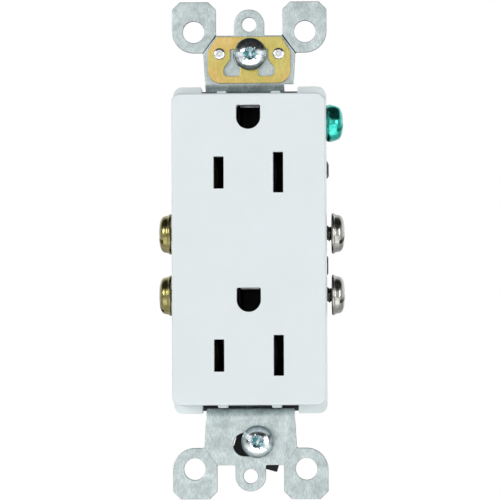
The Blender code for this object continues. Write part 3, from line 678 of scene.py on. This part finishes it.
def bend_places(start):
    """Where a bend's sheet is divided, from its start to its end."""
    length = RIGHT_ANGLE * BEND_MID
    return [start + length * k / BEND_STEPS for k in range(BEND_STEPS + 1)]


def divide(mesh, axis, places):
    """New edges across a sheet, at levels of X or Z, for its bends."""
    along = "XYZ".index(axis)
    normal = Vector([float(k == along) for k in range(3)])
    bm = bmesh.new()
    bm.from_mesh(mesh)
    for place in places:
        everything = bm.verts[:] + bm.edges[:] + bm.faces[:]
        bmesh.ops.bisect_plane(
            bm, geom=everything, dist=SLIVER, plane_co=normal * place * MM, plane_no=normal
        )
    bm.to_mesh(mesh)
    bm.free()


def fold(mesh, axis, start, side=1, up=1, reach=None):
    """Folds the sheet square beyond X or Z = start on one side: to the rear for up=1 and forward
    for up=-1. Only what lies within reach along the other axis folds."""
    along, across = ("XYZ".index(axis), 2 if axis == "X" else 0)
    length = RIGHT_ANGLE * BEND_MID * MM
    start, bend = start * MM, BEND_MID * MM
    middle = sheet_middle[mesh.name]
    for v in mesh.vertices:
        run = side * v.co[along] - start
        if run <= 0 or (reach and not reach[0] * MM <= v.co[across] <= reach[1] * MM):
            continue
        lift = up * (v.co.y - middle)
        if run <= length:
            turned = run / bend
            forward = (bend - lift) * math.sin(turned)
            rise = bend - (bend - lift) * math.cos(turned)
        else:
            rest = run - length
            forward = bend - lift
            rise = rest + bend
        v.co[along] = side * (start + forward)
        v.co.y = middle + up * rise


def blank(name, outlines, thickness, middle_y, edge):
    """A flat sheet before it is folded."""
    lift = Matrix.Translation((0, middle_y * MM, 0))
    mesh = sheet_mesh(name, outlines, thickness, edge, 1, lift @ UPRIGHT)
    sheet_middle[mesh.name] = middle_y * MM
    return mesh


# ---------------------------------------------------------------- cover


def mirrored(side, span):
    """A span on the side of -1 or 1, in rising order."""
    return sorted(side * edge for edge in span)


def rectangle(x, z):
    return [(x[0], z[0]), (x[1], z[0]), (x[1], z[1]), (x[0], z[1])]


def pin_outline(z):
    """A ground-pin hole: round below and square above, with cut corners."""
    radius, cut = PIN_RADIUS, 0.25
    top = [(radius, z + radius - cut), (radius - cut, z + radius)]
    top += [(cut - radius, z + radius), (-radius, z + radius - cut)]
    return arc(0, z, radius, 180, 360, 28) + top


def blade_slots():
    for z in SLOT_Z:
        yield -BLADE_X, z, HOT_SLOT
        yield BLADE_X, z, NEUTRAL_SLOT


def cover():
    outline = rounded_loop(
        rectangle((-FACE_HALF_W, FACE_HALF_W), (-FACE_HALF_H, FACE_HALF_H)), FACE_CORNER, 12
    )
    mesh = upright("outlet_face", outline, (FACE_Y, COVER_REAR_Y), 0.45, 3)
    piece = show("outlet_face", mesh, WHITE, "frame", ["front_cover"])

    flanges = group("flanges")
    for sx in (-1, 1):
        for sz in (-1, 1):
            corners = [
                (FLANGE_INNER_X, FACE_HALF_H - 1.4, 0),
                (FLANGE_INNER_X, FLANGE_HALF_H, 0.35),
                (FACE_HALF_W, FLANGE_HALF_H, FACE_CORNER),
                (FACE_HALF_W, FACE_HALF_H - 3.0, 0),
            ]
            outline = [(sx * x, sz * z) for x, z in rounded_loop(corners, 1, 8)]
            span = (FLANGE_FRONT_Y, COVER_REAR_Y - 0.02)
            helper(flanges, upright(f"flange_{sx}_{sz}", outline, span, 0.18, 1))
    boolean(piece, "UNION", flanges)

    hollow = group("cover_hollow")
    inner_x, inner_z = FACE_HALF_W - SIDE_WALL, FACE_HALF_H - SIDE_WALL
    inside = rounded_loop(rectangle((-inner_x, inner_x), (-inner_z, inner_z)), 0.6, 3)
    helper(hollow, upright("inside", inside, (FACE_Y + FACE_WALL, 6)))
    for sz in (-1, 1):
        span = mirrored(sz, (inner_z - 1, 40))
        helper(hollow, box_mesh(f"strap_gate_{sz}", (-10, 10), (END_REAR_Y, 6), span))
    gate = box_mesh("ground_tab_gate", (inner_x - 1, 20), (RAIL_Y - 0.3, 6), (23.0, 31.6))
    helper(hollow, gate)
    boolean(piece, "DIFFERENCE", hollow)

    posts = group("cover_posts")
    root = FACE_Y + FACE_WALL - 0.4
    for z in ASSEMBLY_Z:
        boss = rod_mesh(f"boss_{z}", 3.0, RAIL_Y - 0.3 - root)
        helper(posts, boss, at((0, root, z), (0, 1, 0)))
    for sz in (-1, 1):
        for sx in (-1, 1):
            x = mirrored(sx, (4.75, 6.75))
            z = mirrored(sz, (FACE_HALF_H - 0.6, FACE_HALF_H + 0.55))
            rib = upright(
                f"rib_{sx}_{sz}",
                rounded_loop(rectangle(x, z), 0.25, 3),
                (FACE_Y + 2.4, END_REAR_Y - 0.25),
            )
            helper(posts, rib)
    boolean(piece, "UNION", posts)

    openings = group("cover_openings")
    for x, z, length in blade_slots():
        w, h = SLOT_WIDTH / 2, length / 2
        outline = rounded_loop(rectangle((x - w, x + w), (z - h, z + h)), 0.12, 2)
        helper(openings, upright(f"slot_{x}_{z}", outline, THROUGH))
    for z in PIN_Z:
        helper(openings, upright(f"pin_hole_{z}", pin_outline(z), THROUGH))
    for z in ASSEMBLY_Z:
        pilot = rod_mesh(f"pilot_{z}", 1.25, 12, 24)
        helper(openings, pilot, at((0, FACE_Y + 1.4, z), (0, 1, 0)))
    boolean(piece, "DIFFERENCE", openings)
    soften(piece, 0.12)
    settle(piece)


# ---------------------------------------------------------------- rear body


def body():
    x, z = (-BODY_HALF_W, BODY_HALF_W), (-BODY_HALF_H, BODY_HALF_H)
    draft = (BODY_REAR_HALF_W / BODY_HALF_W, 1.0)
    mesh = box_mesh("rear_housing", x, (BODY_FRONT_Y, BODY_REAR_Y), z, draft)
    piece = show("rear_housing", mesh, BLACK, "frame", ["back_body"])
    edge = piece.modifiers.new("round_edges", "BEVEL")
    edge.width = 0.9 * MM
    edge.segments = 4
    edge.limit_method = "ANGLE"

    outside = group("body_outside")
    slope = math.atan2(*END_SLOPE)
    for sz in (-1, 1):
        wedge = box_mesh(f"end_slope_{sz}", (-20, 20), (-30, 30), (0, 20))
        lean = Matrix.Rotation(-sz * slope, 4, "X")
        if sz < 0:
            lean = lean @ Matrix.Rotation(math.pi, 4, "Y")
        place = Matrix.Translation(Vector((0, 13.4, sz * 34.5)) * MM)
        helper(outside, wedge, place @ lean)
    z, y = (SLOT_MID_Z - BAY_HALF_H, SLOT_MID_Z + BAY_HALF_H), (0, BAY_REAR_Y)
    helper(outside, box_mesh("neutral_bay", (BAY_X, 20), y, z))
    helper(outside, box_mesh("hot_bay", (-20, -BAY_X), y, z))
    helper(outside, box_mesh("ground_bay", (BAY_X, 20), y, (19.2, 40)))
    boolean(piece, "DIFFERENCE", outside)

    barriers = group("body_barriers")
    root, bevel_x, bevel_z = 12.6, 16.2, 0.6
    for name, sx, rear, z, half in GUARDS:
        outline = [(root, -half), (bevel_x, -half), (GUARD_X, bevel_z - half)]
        outline += [(GUARD_X, half - bevel_z), (bevel_x, half), (root, half)]
        outline = [(sx * x, z + along) for x, along in outline]
        helper(barriers, upright(name, outline, (BODY_FRONT_Y, rear)))
    boolean(piece, "UNION", barriers)

    inside = group("body_inside")
    floor_y = BODY_REAR_Y - BODY_WALL
    for side, sx in (("hot", -1), ("neutral", 1)):
        x = mirrored(sx, CAVITY_X)
        z = (SLOT_MID_Z - CAVITY_HALF_H, SLOT_MID_Z + CAVITY_HALF_H)
        helper(inside, box_mesh(f"{side}_cavity", x, (0, floor_y), z))
        helper(inside, box_mesh(f"{side}_end_pocket", x, (0, BAY_REAR_Y), (24.4, 32.4)))
        for end in (1, -1):
            z = SLOT_MID_Z + end * SLIT_RISE
            x, span = mirrored(sx, SLIT_X), (z - 0.8, z + 0.8)
            helper(inside, box_mesh(f"{side}_slit_{end}", x, (0, SLIT_REAR_Y), span))
        for z in TERMINAL_Z:
            x, span = mirrored(sx, WINDOW_X), (z - WINDOW_HALF_H, z + WINDOW_HALF_H)
            helper(inside, box_mesh(f"{side}_window_{z}", x, WINDOW_Y, span))
            tunnel = rod_mesh(f"{side}_push_in_{z}", 1.15, 12, 32)
            helper(inside, tunnel, at((sx * PUSH_IN_X, 12.0, z), (0, 1, 0)))
            lead_in = rod_mesh(f"{side}_lead_in_{z}", 0.4, 2.0, 32, end_radius=2.4)
            helper(inside, lead_in, at((sx * PUSH_IN_X, BODY_REAR_Y - 1.2, z), (0, 1, 0)))
            x, span = mirrored(sx, RELEASE_X), (z - RELEASE_HALF_H, z + RELEASE_HALF_H)
            helper(inside, box_mesh(f"{side}_release_{z}", x, (18, 24), span))
    z = GROUND_SCREW_Z
    helper(inside, box_mesh("ground_screw_window", (11, 14), (5.4, 10.6), (z - 2.5, z + 2.5)))
    for z in PIN_Z:
        helper(inside, box_mesh(f"pin_channel_{z}", (-3.65, 3.65), (0, 15.5), (z - 9.6, z + 3.9)))
    for z in ASSEMBLY_Z:
        helper(inside, rod_mesh(f"screw_bore_{z}", 1.75, 30, 32), at((0, 0, z), (0, 1, 0)))
        seat = rod_mesh(f"screw_seat_{z}", 3.1, 10, 48)
        helper(inside, seat, at((0, BODY_REAR_Y - SEAT_DEPTH, z), (0, 1, 0)))
    gauge = [(v + 7.6, u + 19.4) for u, v in slot_outline(0, 0, 7.95, 0.9, steps=8)]
    helper(inside, upright("strip_gauge", gauge, (BODY_REAR_Y - 0.5, BODY_REAR_Y + 2)))
    boolean(piece, "DIFFERENCE", inside)
    soften(piece, 0.14)
    settle(piece)


# ---------------------------------------------------------------- strap and clip


def ear_outline():
    """The right upper ear and half of the wall-plate lug, from the strap's side to its middle."""
    low, high, cut, radius = EAR["low"], EAR["high"], EAR["chamfer"], EAR["corner"]
    cx, cz = EAR["outer"] - radius, low + radius
    points = rounded([(STRAP_HALF_W, low - 6), (SHOULDER_HALF_W, low), (cx, low)], 0.4, 4)[1:-1]
    points += arc(cx, cz, radius, -90, 0, 16)
    top = [(EAR["outer"], cz), (EAR["outer"], high - cut), (EAR["outer"] - cut, high)]
    top += [(EAR["inner"] + cut, high), (EAR["inner"], high - cut), (EAR["inner"], PLATE_EDGE)]
    top += [(LUG_RADIUS, PLATE_EDGE), (LUG_RADIUS, LUG_Z)]
    points += rounded(top, 0.3, 3)[1:-1]
    points += arc(0, LUG_Z, LUG_RADIUS, 0, 90, 16)
    return [(x, z + FLAT_EXTRA) for x, z in points]


def score_lines(piece):
    """V grooves across the ears' necks, where the ears are broken off on a hollow wall."""
    cuts = group("ear_score_lines")
    across, up = SHOULDER_HALF_W - EAR["inner"], EAR["low"] - PLATE_EDGE
    half = math.hypot(across, up) / 2 + 0.8
    middle_x = (SHOULDER_HALF_W + EAR["inner"]) / 2
    middle_z = (EAR["low"] + PLATE_EDGE) / 2
    for sz in (-1, 1):
        size = SCORE_DEPTH[sz] / math.sqrt(2)
        for sx in (-1, 1):
            mesh = box_mesh(f"score_{sx}_{sz}", (-half, half), (-size, size), (-size, size))
            place = Matrix.Translation(Vector((sx * middle_x, -SHEET, sz * middle_z)) * MM)
            lean = Matrix.Rotation(-sx * sz * math.atan2(up, across), 4, "Y")
            helper(cuts, mesh, place @ lean @ Matrix.Rotation(math.radians(45), 4, "X"))
    boolean(piece, "DIFFERENCE", cuts)


def strap():
    bend_end = RAIL_END + ARC + 0.2
    tab_start = TAB_OUTER_X - SHEET - BEND_IN
    tab_end = tab_start + ARC + TAB_DEPTH
    plate = PLATE_START + FLAT_EXTRA
    ear = ear_outline()
    pad = [(6.4, 32.2), (6.4, bend_end)]
    arm = [(2.9, 22.0), (5.2, 24.3), (9.5, 24.3), (10.5, 23.4), (tab_end - 1, 23.4)]
    arm += [(tab_end, 24.4), (tab_end, 30.2), (tab_end - 1, 31.2), (8.0, 31.2)] + pad
    arm += [(7.5, bend_end), (7.5, plate - 0.3), (STRAP_HALF_W, plate - 0.3)]
    shoulder = [(STRAP_HALF_W - 0.1, bend_end), (STRAP_HALF_W, plate)]
    left_top = [(2.9, 22.0), (5.2, 24.3), (5.2, 31.0)] + pad + shoulder + ear
    bottom = [(2.9, 29.6), (6.4, 31.4), (6.4, bend_end)] + shoulder + ear
    ring = [(2.9, -5.1), (5.2, -7.4), (5.2, -14.3), (2.9, -16.6)]
    outline = arm + ear + [(-x, z) for x, z in reversed(left_top[:-1])]
    outline += [(-x, z) for x, z in ring]
    outline += [(-x, -z) for x, z in bottom[:-1]] + [(x, -z) for x, z in reversed(bottom)]
    outline += list(reversed(ring))
    holes = [circle(0, z, 3.9) for z in PIN_Z]
    holes += [circle(0, z - RIVET_BELOW, 1.4, 24) for z in PIN_Z]
    holes += [circle(0, z, 1.75, 24) for z in ASSEMBLY_Z]
    screw_along = tab_start + ARC + SCREW_Y - (RAIL_Y + SHEET + BEND_IN)
    holes += [circle(screw_along, GROUND_SCREW_Z, 1.95)]
    for end in (-1, 1):
        holes += [circle(0, end * (LUG_Z + FLAT_EXTRA), LUG_HOLE_R)]
        slot_z = end * (MOUNT_Z + FLAT_EXTRA)
        holes += [slot_outline(0, slot_z, MOUNT_SLOT_HALF[end], MOUNT_SLOT_R)]
        for side in (-1, 1):
            x, z, radius = EAR_HOLE
            holes += [circle(side * x, end * (z + FLAT_EXTRA), radius, 56)]
    for side in (-1, 1):
        rivet_z = CLIP_RIVET_Z + FLAT_EXTRA
        holes += [circle(side * CLIP_RIVET_X, rivet_z, CLIP_RIVET_HOLE_R, 24)]

    mesh = blank("steel_strap", [outline] + holes, SHEET, RAIL_Y + SHEET / 2, 0.2)
    outer_bend = RAIL_END + ARC + STEP_LEG
    places = bend_places(RAIL_END) + bend_places(outer_bend)
    divide(mesh, "Z", [side * place for side in (-1, 1) for place in places])
    divide(mesh, "X", bend_places(tab_start))
    fold(mesh, "X", tab_start, reach=(20, 32))
    for side in (-1, 1):
        fold(mesh, "Z", outer_bend, side=side, up=1)
        fold(mesh, "Z", RAIL_END, side=side, up=-1)
    piece = show("steel_strap", mesh, ZINC_SHEET, "frame", ["mounting_strap"])
    score_lines(piece)
    settle(piece, 40)


def clip():
    corners = [(8.85, 38.5, 0), (8.85, 42.6, 0.5), (6.95, 45.75, 0.35)]
    corners += [(-6.95, 45.75, 0.35), (-8.85, 42.6, 0.5), (-8.85, 38.5, 0)]
    outer = rounded_loop(corners, 0, 4)
    outer += arc(-6.1, 38.5, 2.75, 180, 270, 14)[1:] + arc(6.1, 38.5, 2.75, 270, 360, 14)[:-1]
    half = [(2.05, 37.3), (4.9, 37.3), (5.5, 37.9), (5.5, 38.9), (4.05, 41.0), (4.05, 43.1)]
    half += [(2.9, 43.1), (2.0, 44.3)]
    window = half + [(-x, z) for x, z in reversed(half)] + [(-1.8, 39.6), (1.8, 39.6)]
    window = rounded_loop(window, 0.25, 3)
    holes = [
        circle(side * CLIP_RIVET_X, CLIP_RIVET_Z, CLIP_RIVET_HOLE_R, 24) for side in (-1, 1)
    ]
    middle = CLIP_REAR_Y - CLIP_SHEET / 2
    mesh = blank("brass_clip", [outer, window] + holes, CLIP_SHEET, middle, 0.12)
    piece = show("brass_clip", mesh, BRASS_SHEET, "frame", ["self_grounding_clip"])
    level(piece, 40)


# ---------------------------------------------------------------- fasteners


def screw_mesh(name, head, length, neck, around=48, radius=THREAD_R, depth=0.34, tip=0.6):
    """A head, given as rows of (radius, height) from the crown down, on a threaded shank with a
    plain neck and a narrowing tip. A radius may be a function of angle."""
    turns = [2 * math.pi * k / around for k in range(around)]
    rows = [([r(a) if callable(r) else r for a in turns], h) for r, h in head[1:]]
    rows += [([radius - depth] * around, h) for h in (0.0, -neck)]
    count = int((length - neck) / THREAD_PITCH * 8)
    for k in range(1, count + 1):
        h = -neck - (length - neck) * k / count
        into_tip = max(0.0, tip - (h + length))
        limit = radius - into_tip * depth / tip * 1.2
        ease = min(1.0, (-neck - h) / THREAD_PITCH * 2)
        ring = []
        for a in turns:
            phase = (h / THREAD_PITCH + a / (2 * math.pi)) % 1.0
            groove = min(1.0, abs(2 * phase - 1) * 1.25)
            ring.append(min(limit, radius - depth + depth * (1 - groove) * ease))
        rows.append((ring, h))
    return lathe(name, head[0][1], rows, -length, around)


def bar_cutter(into, name, place, height, half_x, half_y, depth, taper):
    """A bar this far down from a height, whose bottom is scaled by taper."""
    mesh = box_mesh(name, (-half_x, half_x), (-half_y, half_y), (-depth, depth))
    for v in mesh.vertices:
        if v.co.z < 0:
            v.co.x *= taper[0]
            v.co.y *= taper[1]
        v.co.z += height * MM
    helper(into, mesh, place)


def drive(piece, place, crown, slot=None, cross=None, cone=None, ticks=None):
    """Cuts in a head: slot and cross are (half length, width, depth), cone is (radius, depth),
    and ticks, between the cross's wings, are (half length, width, depth)."""
    cuts = group(piece.name + "_drive")
    if slot:
        half, width, depth = slot
        bar_cutter(cuts, piece.name + "_slot", place, crown, half, width / 2, depth, (1, 0.85))
    if cross:
        half, width, depth = cross
        bar_cutter(cuts, piece.name + "_cross_a", place, crown, half, width / 2, depth, (0.4, 0.6))
        bar_cutter(cuts, piece.name + "_cross_b", place, crown, width / 2, half, depth, (0.6, 0.4))
    if cone:
        radius, depth = cone
        mesh = rod_mesh(piece.name + "_cone", 0.15, depth + 0.5, 24, radius * (1 + 0.5 / depth))
        helper(cuts, mesh, place @ Matrix.Translation((0, 0, (crown - depth) * MM)))
    if ticks:
        half, width, depth = ticks
        for turn in (45, 135):
            lean = place @ Matrix.Rotation(math.radians(turn), 4, "Z")
            name = f"{piece.name}_tick_{turn}"
            bar_cutter(cuts, name, lean, crown - 0.25, half, width / 2, depth, (0.5, 0.2))
    boolean(piece, "DIFFERENCE", cuts)


def dome(rim, height):
    """Rows of a head with a spherical crown on a short wall, from the crown to the underside."""
    wall, steps = 0.35, 10
    rise = height - wall
    ball = (rim * rim + rise * rise) / (2 * rise)
    most = math.asin(rim / ball)
    rows = [(0, height)]
    for k in range(1, steps + 1):
        lean = most * k / steps
        rows.append((ball * math.sin(lean), height - ball * (1 - math.cos(lean))))
    return rows + [(rim + 0.03, wall - 0.08), (rim, 0.06), (rim - 0.12, 0)]


# A terminal screw's head, in rows of (radius, height) from the crown down.
BINDING_HEAD = [(0, 2.75), (1.1, 2.73), (2.1, 2.65), (2.75, 2.53), (3.2, 2.38), (3.52, 2.2)]
BINDING_HEAD += [(3.74, 2.0), (3.88, 1.78), (3.96, 1.55), (4.02, 1.25), (4.07, 0.98), (4.11, 0.8)]
BINDING_HEAD += [(4.18, 0.68), (4.28, 0.61), (4.35, 0.53), (4.38, 0.42), (4.38, 0.16)]
BINDING_HEAD += [(4.34, 0.05), (4.25, 0), (3.2, 0), (3.1, 0.08), (1.9, 0.08)]


def screw(name, material, slot_name, body_name, cad, place, head, length, **cuts):
    mesh = screw_mesh(name, head, length, SCREW_NECK)
    piece = show(name, mesh, material, body_name, [cad], place)
    drive(piece, place, head[0][1], **cuts)
    settle(piece, 35)


def terminal_screws():
    spins = {"hot": (62, 30), "neutral": (-58, -66)}
    for side, sx, material, slot_name in (
        ("hot", -1, BRASS_SCREW, "brass"),
        ("neutral", 1, NICKEL, "nickel"),
    ):
        for tier, z, spin in zip(("upper", "lower"), TERMINAL_Z, spins[side]):
            screw(
                f"{side}_wire_screw_{tier}",
                material,
                slot_name,
                f"{side}_screw_{tier}",
                f"{side}_terminal_screw_{tier}",
                at((sx * TERMINAL_HEAD_X, SCREW_Y, z), (sx, 0, 0), spin),
                BINDING_HEAD,
                TERMINAL_LENGTH,
                slot=(4.6, 1.05, 1.05),
                cross=(2.3, 1.1, 1.5),
            )


def hexagon(flat, limit):
    """A radius that follows a hexagon this wide across its flats, up to a limit."""

    def radius(angle):
        within = (angle + math.pi / 6) % (math.pi / 3) - math.pi / 6
        return min(flat / 2 / math.cos(within), limit)

    return radius


def ground_screw():
    head = [(0, 3.62), (1.0, 3.6), (1.8, 3.51), (2.4, 3.37), (hexagon(5.6, 2.95), 3.18)]
    head += [(hexagon(6.3, 3.4), 2.95), (hexagon(6.8, 3.65), 2.65), (hexagon(7.1, 3.82), 2.3)]
    head += [(hexagon(7.4, 3.95), 1.9), (hexagon(7.6, 4.03), 1.5), (hexagon(7.8, 4.08), 1.15)]
    head += [(4.08, 0.85), (4.04, 0.5), (3.95, 0.25), (3.8, 0.06), (3.7, 0), (1.9, 0)]
    screw(
        "green_ground_screw",
        GREEN,
        "green_screw",
        "ground_screw",
        "ground_terminal_screw",
        at((TAB_OUTER_X + 0.1, SCREW_Y, GROUND_SCREW_Z), (1, 0, 0), -62),
        head,
        TERMINAL_LENGTH,
        slot=(4.6, 1.1, 1.2),
    )


def mounting_screws():
    head = dome(3.45, 2.0)
    for end, location, spin in (
        ("top", MOUNT_SCREW_TOP, 3),
        ("bottom", MOUNT_SCREW_BOTTOM, -28),
    ):
        screw(
            f"device_screw_{end}",
            BRIGHT,
            "bright_steel",
            f"{end}_mounting_screw",
            f"mounting_screw_{end}",
            at(location, (0, -1, 0), spin),
            head,
            MOUNT_LENGTH,
            slot=(3.9, 1.15, 1.4),
            cross=(2.1, 1.0, 1.75),
            cone=(1.5, 1.5),
            ticks=(2.45, 0.5, 0.6),
        )


def assembly_screws():
    crown = 1.9
    head = dome(2.75, crown)
    for tier, z, spin in zip(("upper", "lower"), ASSEMBLY_Z, (20, 65)):
        name, cad = f"body_screw_{tier}", f"assembly_screw_{tier}"
        place = at((0, BODY_REAR_Y - SEAT_DEPTH + 0.1, z), (0, 1, 0), spin)
        mesh = screw_mesh(name, head, 23.0, neck=14.0, around=32, radius=1.15, depth=0.2)
        piece = show(name, mesh, BRIGHT, "frame", [cad], place)
        drive(piece, place, crown, cross=(1.7, 0.8, 1.25))
        settle(piece, 35)


def retainer():
    outline = rounded_loop(rectangle((-4.9, 5.55), (-5.2, 4.5)), 0.25, 4)
    x, _, z = MOUNT_SCREW_BOTTOM
    lean = Matrix.Rotation(math.radians(-16), 4, "Z")
    name, cad, thickness = "fibre_washer", "screw_retainer_bottom", 0.8
    mesh = sheet_mesh(name, [outline, circle(0, 0, 1.9, 36)], thickness, 0.08)
    place = Matrix.Translation(Vector((x, RETAINER_Y + thickness / 2, z)) * MM) @ UPRIGHT @ lean
    piece = show(name, mesh, FIBRE, "bottom_retainer", [cad], place)
    level(piece, 40)


def rivets():
    """The clip's two rivets, with a dimpled head in front and a plain one behind the strap."""
    front = CLIP_REAR_Y - CLIP_SHEET - 0.08
    grip, radius, rim, h, sides = 0.08 - front, 0.7, 1.25, 0.5, 40
    profile = [(rim * 0.3, h * 0.66), (rim * 0.42, h * 0.95), (rim * 0.62, h)]
    profile += [(rim * 0.86, h * 0.75), (rim, h * 0.3), (rim, 0), (radius, 0), (radius, -grip)]
    profile += [(rim, -grip), (rim, -grip - 0.3 * h), (rim * 0.75, -grip - h)]
    rows = [([r] * sides, height) for r, height in profile]
    for side, sx in (("left", -1), ("right", 1)):
        name, cad = f"clip_stud_{side}", f"clip_rivet_{side}"
        mesh = lathe(name, h * 0.62, rows, -grip - h, sides)
        shade(mesh, 35)
        place = at((sx * CLIP_RIVET_X, front, CLIP_RIVET_Z), (0, -1, 0))
        show(name, mesh, RIVET, "frame", [cad], place)


def keep_cad(material, nodes):
    """CAD nodes that are shown as they are, with a better material."""
    for name in nodes:
        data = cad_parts[name].data
        data.materials.clear()
        data.materials.append(material)


cover()
body()
strap()
clip()
terminal_screws()
ground_screw()
mounting_screws()
assembly_screws()
retainer()
rivets()
keep_cad(CONTACT_BRASS, ["hot_contact_strip"])
keep_cad(CONTACT_PLATE, ["neutral_contact_strip"])
keep_cad(TIN, ["ground_contact_upper", "ground_contact_lower"])
keep_cad(RIVET, ["ground_rivet_upper", "ground_rivet_lower"])
for side in ("hot", "neutral"):
    keep_cad(RIVET, [f"push_in_clip_{side}_upper", f"push_in_clip_{side}_lower"])


# ---------------------------------------------------------------- light, floor and camera


FLOOR_Z = -0.3
FLOOR_GLOW = 0.3
WORLD_BASE = 0.035
# Direction, degrees off it where the light starts and where it is full, strength.
WORLD_LIGHTS = (
    ((0, 1, 0), 78, 45, 1.0),
    ((0, -1, 0), 38, 12, 0.95),
    ((0, -0.6, -0.8), 48, 24, 1.15),
    ((-1, 0.1, 0), 32, 12, 0.7),
    ((1, 0.1, 0), 32, 12, 0.7),
)
# Name, place, what it faces, width and height, power. Metres and watts.
SOFTBOXES = (
    ("key", (-0.75, -0.75, 0.3), (0, 0, 0), (0.4, 0.4), 4.6),
    ("fill", (0.8, -0.7, 0.1), (0, 0, 0), (0.4, 0.6), 4.0),
    ("table", (0, -0.42, -0.28), (0, -0.42, 0), (0.7, 0.6), 1.2),
)
CAMERA_AIM = Vector((0, -0.6 * MM, 0))
CAMERA_DISTANCE = 0.93
CAMERA_AZIMUTH, CAMERA_ELEVATION, CAMERA_ROLL = 2.8, -2.4, -0.22
CAMERA_LENS = 312.5


def floor():
    bm = bmesh.new()
    bmesh.ops.create_grid(bm, x_segments=1, y_segments=1, size=3.0)
    mesh = finished(bm, "studio_floor")
    plane = bpy.data.objects.new("studio_floor", mesh)
    plane.location = (0, 0, FLOOR_Z)
    bpy.context.scene.collection.objects.link(plane)
    material, _, shader = new_look("studio_floor")
    shader.inputs["Base Color"].default_value = (0.8, 0.8, 0.8, 1)
    shader.inputs["Roughness"].default_value = 0.9
    shader.inputs["Emission Color"].default_value = (1, 1, 1, 1)
    shader.inputs["Emission Strength"].default_value = FLOOR_GLOW
    mesh.materials.append(material)


def softbox(name, location, aim, size, power):
    light = bpy.data.lights.new(name, "AREA")
    light.shape = "RECTANGLE"
    light.size, light.size_y = size
    light.energy = power
    lamp = bpy.data.objects.new(name, light)
    lamp.location = location
    lamp.rotation_mode = "QUATERNION"
    lamp.rotation_quaternion = (Vector(aim) - Vector(location)).to_track_quat("-Z", "Y")
    lamp.visible_camera = False
    # The table lies low in front and shows in gloss only, or it would wash the cover out.
    lamp.visible_diffuse = name != "table"
    bpy.context.scene.collection.objects.link(lamp)


def patch(tree, direction, aim, wide, narrow, strength):
    """Light from around one direction, from nothing at wide degrees off it to all at narrow."""
    toward = vector_math(tree, "DOT_PRODUCT", direction, Vector(aim).normalized())
    near, far = math.cos(math.radians(wide)), math.cos(math.radians(narrow))
    return spread(tree, toward, 0.0, strength, near, far, interpolation_type="SMOOTHSTEP")


def studio():
    """White where the camera sees past the object. What lights it and shows in its gloss is
    bright behind, in front and low in front, dimmer at the sides, and dark above."""
    world = bpy.data.worlds.new("studio")
    bpy.context.scene.world = world
    world.use_nodes = True
    tree = world.node_tree
    tree.nodes.clear()
    seen = node(tree, "ShaderNodeLightPath").outputs["Is Camera Ray"]
    direction = node(tree, "ShaderNodeTexCoord").outputs["Generated"]
    total = add_up(tree, [patch(tree, direction, *light) for light in WORLD_LIGHTS] + [WORLD_BASE])
    lit = node(tree, "ShaderNodeBackground", {"Color": (0.97, 1.0, 1.0, 1), "Strength": total})
    white = node(tree, "ShaderNodeBackground", {"Color": (1, 1, 1, 1), "Strength": 1.0})
    mix = node(
        tree,
        "ShaderNodeMixShader",
        {0: seen, 1: lit.outputs["Background"], 2: white.outputs["Background"]},
    )
    node(tree, "ShaderNodeOutputWorld", {"Surface": mix.outputs["Shader"]})
    for light in SOFTBOXES:
        softbox(*light)


def camera():
    azimuth, elevation = math.radians(CAMERA_AZIMUTH), math.radians(CAMERA_ELEVATION)
    roll = Quaternion((0, 0, 1), math.radians(CAMERA_ROLL))
    across, up = math.cos(elevation), math.sin(elevation)
    back = Vector((math.sin(azimuth) * across, -math.cos(azimuth) * across, up))
    data = bpy.data.cameras.new("camera")
    data.lens = CAMERA_LENS
    data.sensor_width = 36
    data.clip_start = 0.01
    data.clip_end = 20
    made = bpy.data.objects.new("camera", data)
    made.location = CAMERA_AIM + back * CAMERA_DISTANCE
    made.rotation_mode = "QUATERNION"
    made.rotation_quaternion = (-back).to_track_quat("-Z", "Y") @ roll
    bpy.context.scene.collection.objects.link(made)
    bpy.context.scene.camera = made


floor()
studio()
camera()
bpy.context.scene.view_settings.view_transform = "Standard"
